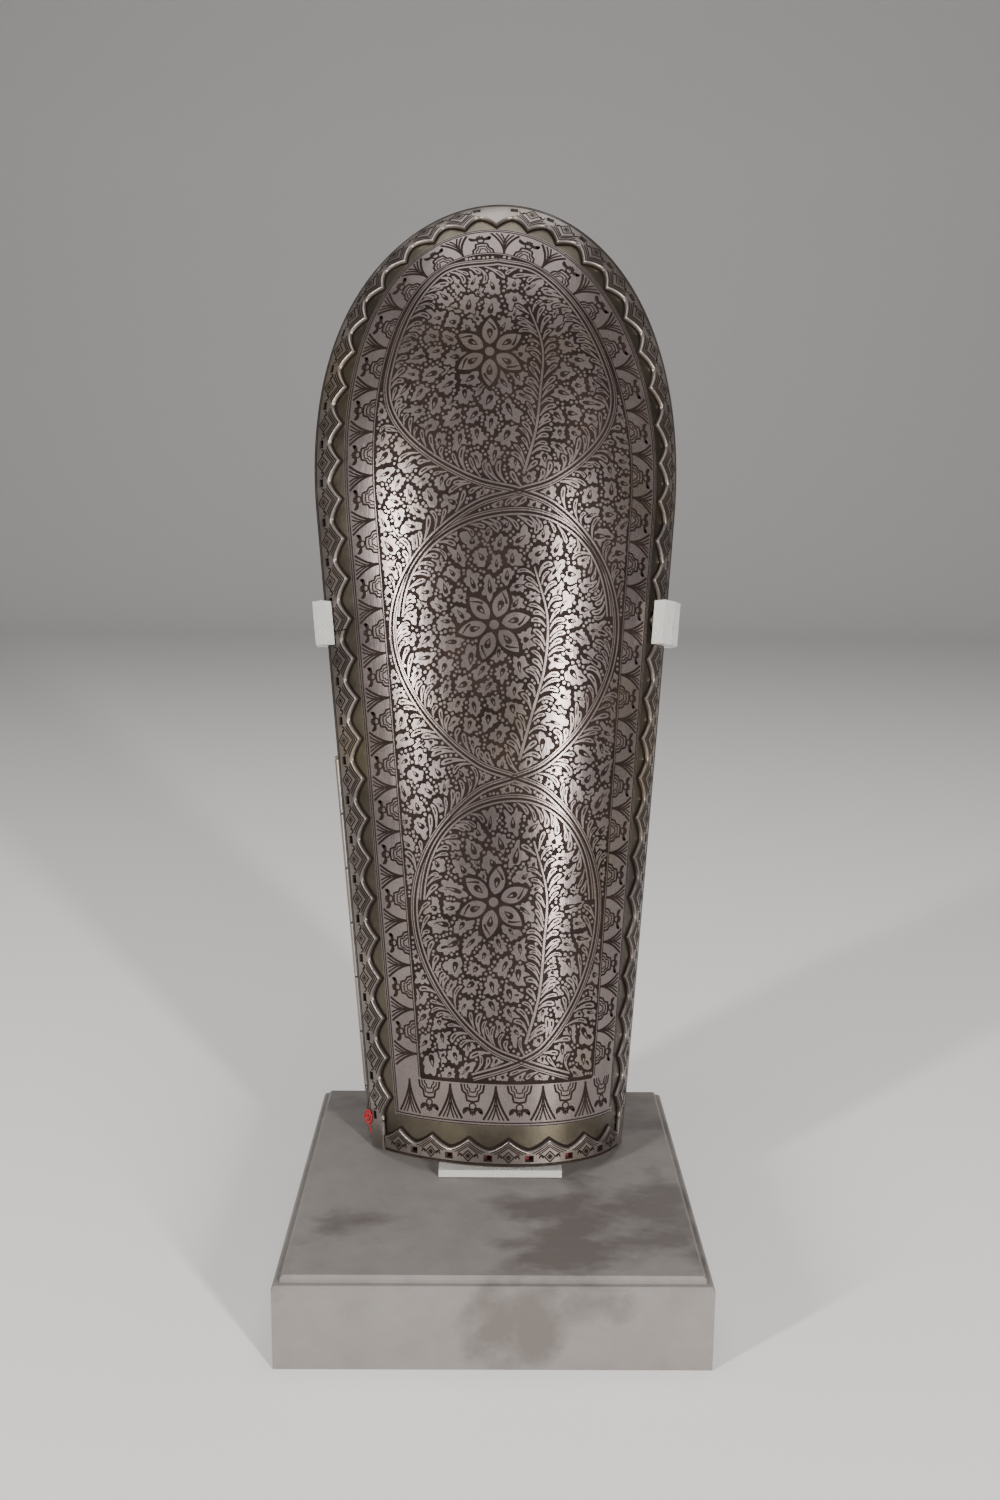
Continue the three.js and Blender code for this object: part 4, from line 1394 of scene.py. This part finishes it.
def add_hinge(name, side):
    hinge = hinge_frame(side)
    body = "guard_and_stand"
    leaf = knuckle_parts(hinge, 0)
    for n in range(0, KNUCKLES, 2):
        low = HINGE_START + n * KNUCKLE + KNUCKLE_GAP
        leaf.append(leaf_part(side, low, low + KNUCKLE - 2 * KNUCKLE_GAP, -HINGE_REACH + 0.4))
    leaf.append(leaf_part(side, HINGE_START, HINGE_START + KNUCKLES * KNUCKLE, 0.5))
    made = weld(mesh_object(f"hinge_leaf_{name}_steel", *joined(leaf)))
    made.data.set_sharp_from_angle(angle=math.radians(35))
    own(made, body, [f"hinge_leaf_{name}"], plain)
    length = KNUCKLES * KNUCKLE + PIN_SPARE
    pin = [
        barrel(hinge, -PIN_SPARE - HEAD_LENGTH, -PIN_SPARE, HEAD_RADIUS, soft=0.45),
        barrel(hinge, length, length + HEAD_LENGTH, HEAD_RADIUS, soft=0.45),
        barrel(hinge, -PIN_SPARE, length, PIN_RADIUS),
    ]
    made = weld(mesh_object(f"hinge_pin_{name}_steel", *joined(pin)))
    made.data.set_sharp_from_angle(angle=math.radians(50))
    own(made, body, [f"hinge_pin_{name}"], plain)
    clear_share = (KNUCKLE_RADIUS + KNUCKLE_GAP) / WING_WIDTH
    wing = [wing_part(hinge, 60, (clear_share, 1.0))]
    for n in range(1, KNUCKLES, 2):
        low = n * KNUCKLE + KNUCKLE_GAP / 2
        high = (n + 1) * KNUCKLE - (KNUCKLE_GAP / 2 if n < KNUCKLES - 1 else 0)
        wing.append(wing_part(hinge, 6, (0.0, clear_share + 0.01), (low, high)))
    wing += knuckle_parts(hinge, 1)
    made = weld(mesh_object(f"wrist_plate_{name}_steel", *joined(wing)))
    made.data.set_sharp_from_angle(angle=math.radians(40))
    own(made, f"{name}_wrist_plate", [f"wrist_plate_{name}"], plain)


add_hinge("left", -1)
add_hinge("right", 1)


# Loose red stitching at the wrist

def thread(name, points, radius=0.24):
    """A short twisted thread through points of the row frame, in millimetres."""
    curve = bpy.data.curves.new(name, "CURVE")
    curve.dimensions = "3D"
    curve.bevel_depth = radius * MM
    curve.bevel_resolution = 2
    curve.resolution_u = 6
    spline = curve.splines.new("NURBS")
    spline.points.add(len(points) - 1)
    spline.use_endpoint_u = True
    spline.order_u = 3
    for knot, point in zip(spline.points, points):
        knot.co = (*(Vector(point) * MM), 1)
    curve.use_fill_caps = True
    made = bpy.data.objects.new(name, curve)
    bpy.context.scene.collection.objects.link(made)
    mesh = bpy.data.meshes.new_from_object(made.evaluated_get(bpy.context.evaluated_depsgraph_get()))
    bpy.data.objects.remove(made)
    solid = bpy.data.objects.new(name, mesh)
    mesh.polygons.foreach_set("use_smooth", [True] * len(mesh.polygons))
    bpy.context.scene.collection.objects.link(solid)
    return own(solid, "guard_and_stand", [], thread_red)


def add_threads():
    """A tangle by the left wrist corner and a few ends below the wrist edge."""
    knot = to_row(on_face(np.array(-WRIST_HALF - 0.6), np.array(11.0), np.array(0.5)))[None][0] / MM
    for k in range(5):
        t = np.linspace(0, 1, 9)
        loop = 0.8 + 0.8 * rng.uniform()
        spin = rng.uniform(0, 6.28)
        points = np.stack([
            knot[0] - 1.4 + loop * np.cos(spin + t * 5.6) * (0.7 + 0.5 * t),
            knot[1] - 0.8 + rng.uniform(-0.6, 0.6) + 0.7 * np.sin(3 * t + spin),
            knot[2] + loop * 1.3 * np.sin(spin + t * 5.6) + rng.uniform(-1.2, 1.2),
        ], -1)
        thread(f"red_thread_knot_{k}", points)
    steps = ((-1.0, -0.4, 0), (-1.3, -0.8, -3), (-0.4, -1.0, -6), (0.3, -1.2, -9))
    thread("red_thread_tail", [knot + np.array(step) for step in steps])
    for k, share in enumerate((-0.82, -0.72, -0.64)):
        start = to_row(on_face(np.array(share * WRIST_HALF), np.array(0.0), np.array(-1.8)))[None][0] / MM
        points = [
            start + np.array([0, 0, 0.6]),
            start + np.array([0.8, -0.8, -0.5]),
            start + np.array([2.0 + k, -1.6, -0.9]),
            start + np.array([3.4, -1.2, -0.2 * k - 0.4]),
        ]
        thread(f"red_thread_end_{k}", points)


add_threads()


# Base and clear support

def finish_node(name, material, radius, segments=3):
    """A CAD node kept as it is, with softened edges and its own finish."""
    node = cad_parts[name]
    node.data.materials.clear()
    node.data.materials.append(material)
    if radius:
        modifier = node.modifiers.new("soft_edges", "BEVEL")
        modifier.width = radius * MM
        modifier.segments = segments
        modifier.limit_method = "ANGLE"
        modifier.angle_limit = math.radians(28)
        modifier.harden_normals = True


finish_node("display_base", paint, 0.3, 2)
finish_node("support_upright", acrylic, 0.5)
finish_node("support_clips", acrylic, 1.1, 4)


# Floor, light and camera

def floor_piece():
    """A pale floor that turns up into a backdrop far behind."""
    profile = [(-3.0, 0.0), (2.2, 0.0)]
    bend = np.linspace(0, math.pi / 2, 24)[1:]
    profile += [(2.2 + math.sin(a) * 1.2, 1.2 - math.cos(a) * 1.2) for a in bend]
    profile += [(3.4, 5.0)]
    points = [(x, y, z) for y, z in profile for x in (-5.0, 5.0)]
    faces = [(2 * k, 2 * k + 1, 2 * k + 3, 2 * k + 2) for k in range(len(profile) - 1)]
    made = mesh_object("floor", points, faces)
    material, tree, shader = new_material("floor_look")
    shader.inputs["Base Color"].default_value = (0.80, 0.79, 0.78, 1)
    shader.inputs["Roughness"].default_value = 0.9
    made.data.materials.append(material)


def soft_light(name, place, target, size, power, colour=(1, 1, 1)):
    data = bpy.data.lights.new(name, "AREA")
    data.shape = "RECTANGLE"
    data.size, data.size_y = size
    data.energy = power
    data.color = colour
    made = bpy.data.objects.new(name, data)
    made.location = place
    made.rotation_euler = (Vector(target) - Vector(place)).to_track_quat("-Z", "Y").to_euler()
    bpy.context.scene.collection.objects.link(made)


floor_piece()
middle = (0, 0, 0.2)
soft_light("left_strip", (-0.97, -0.86, 0.54), middle, (0.07, 0.42), 17.0, (1.0, 0.97, 0.93))
soft_light("right_strip", (0.66, -1.15, 0.42), middle, (0.08, 0.5), 27.0, (1.0, 0.96, 0.92))
soft_light("top_soft", (0.0, 0.1, 1.6), middle, (1.2, 1.2), 12.0)
world = bpy.data.worlds.new("studio")
world.use_nodes = True
world.node_tree.nodes["Background"].inputs["Color"].default_value = (0.80, 0.80, 0.81, 1)
world.node_tree.nodes["Background"].inputs["Strength"].default_value = 0.24
bpy.context.scene.world = world

camera_data = bpy.data.cameras.new("camera")
camera_data.sensor_width = 36.0
camera_data.lens = 31.78
camera = bpy.data.objects.new("camera", camera_data)
camera.matrix_world = (
    Matrix.Translation((-0.00297, -0.43187, 0.2619))
    @ Matrix.Rotation(math.radians(-0.54), 4, "Z")
    @ Matrix.Rotation(math.radians(90 - 10.62), 4, "X")
    @ Matrix.Rotation(math.radians(0.53), 4, "Z")
)
bpy.context.scene.collection.objects.link(camera)
bpy.context.scene.camera = camera
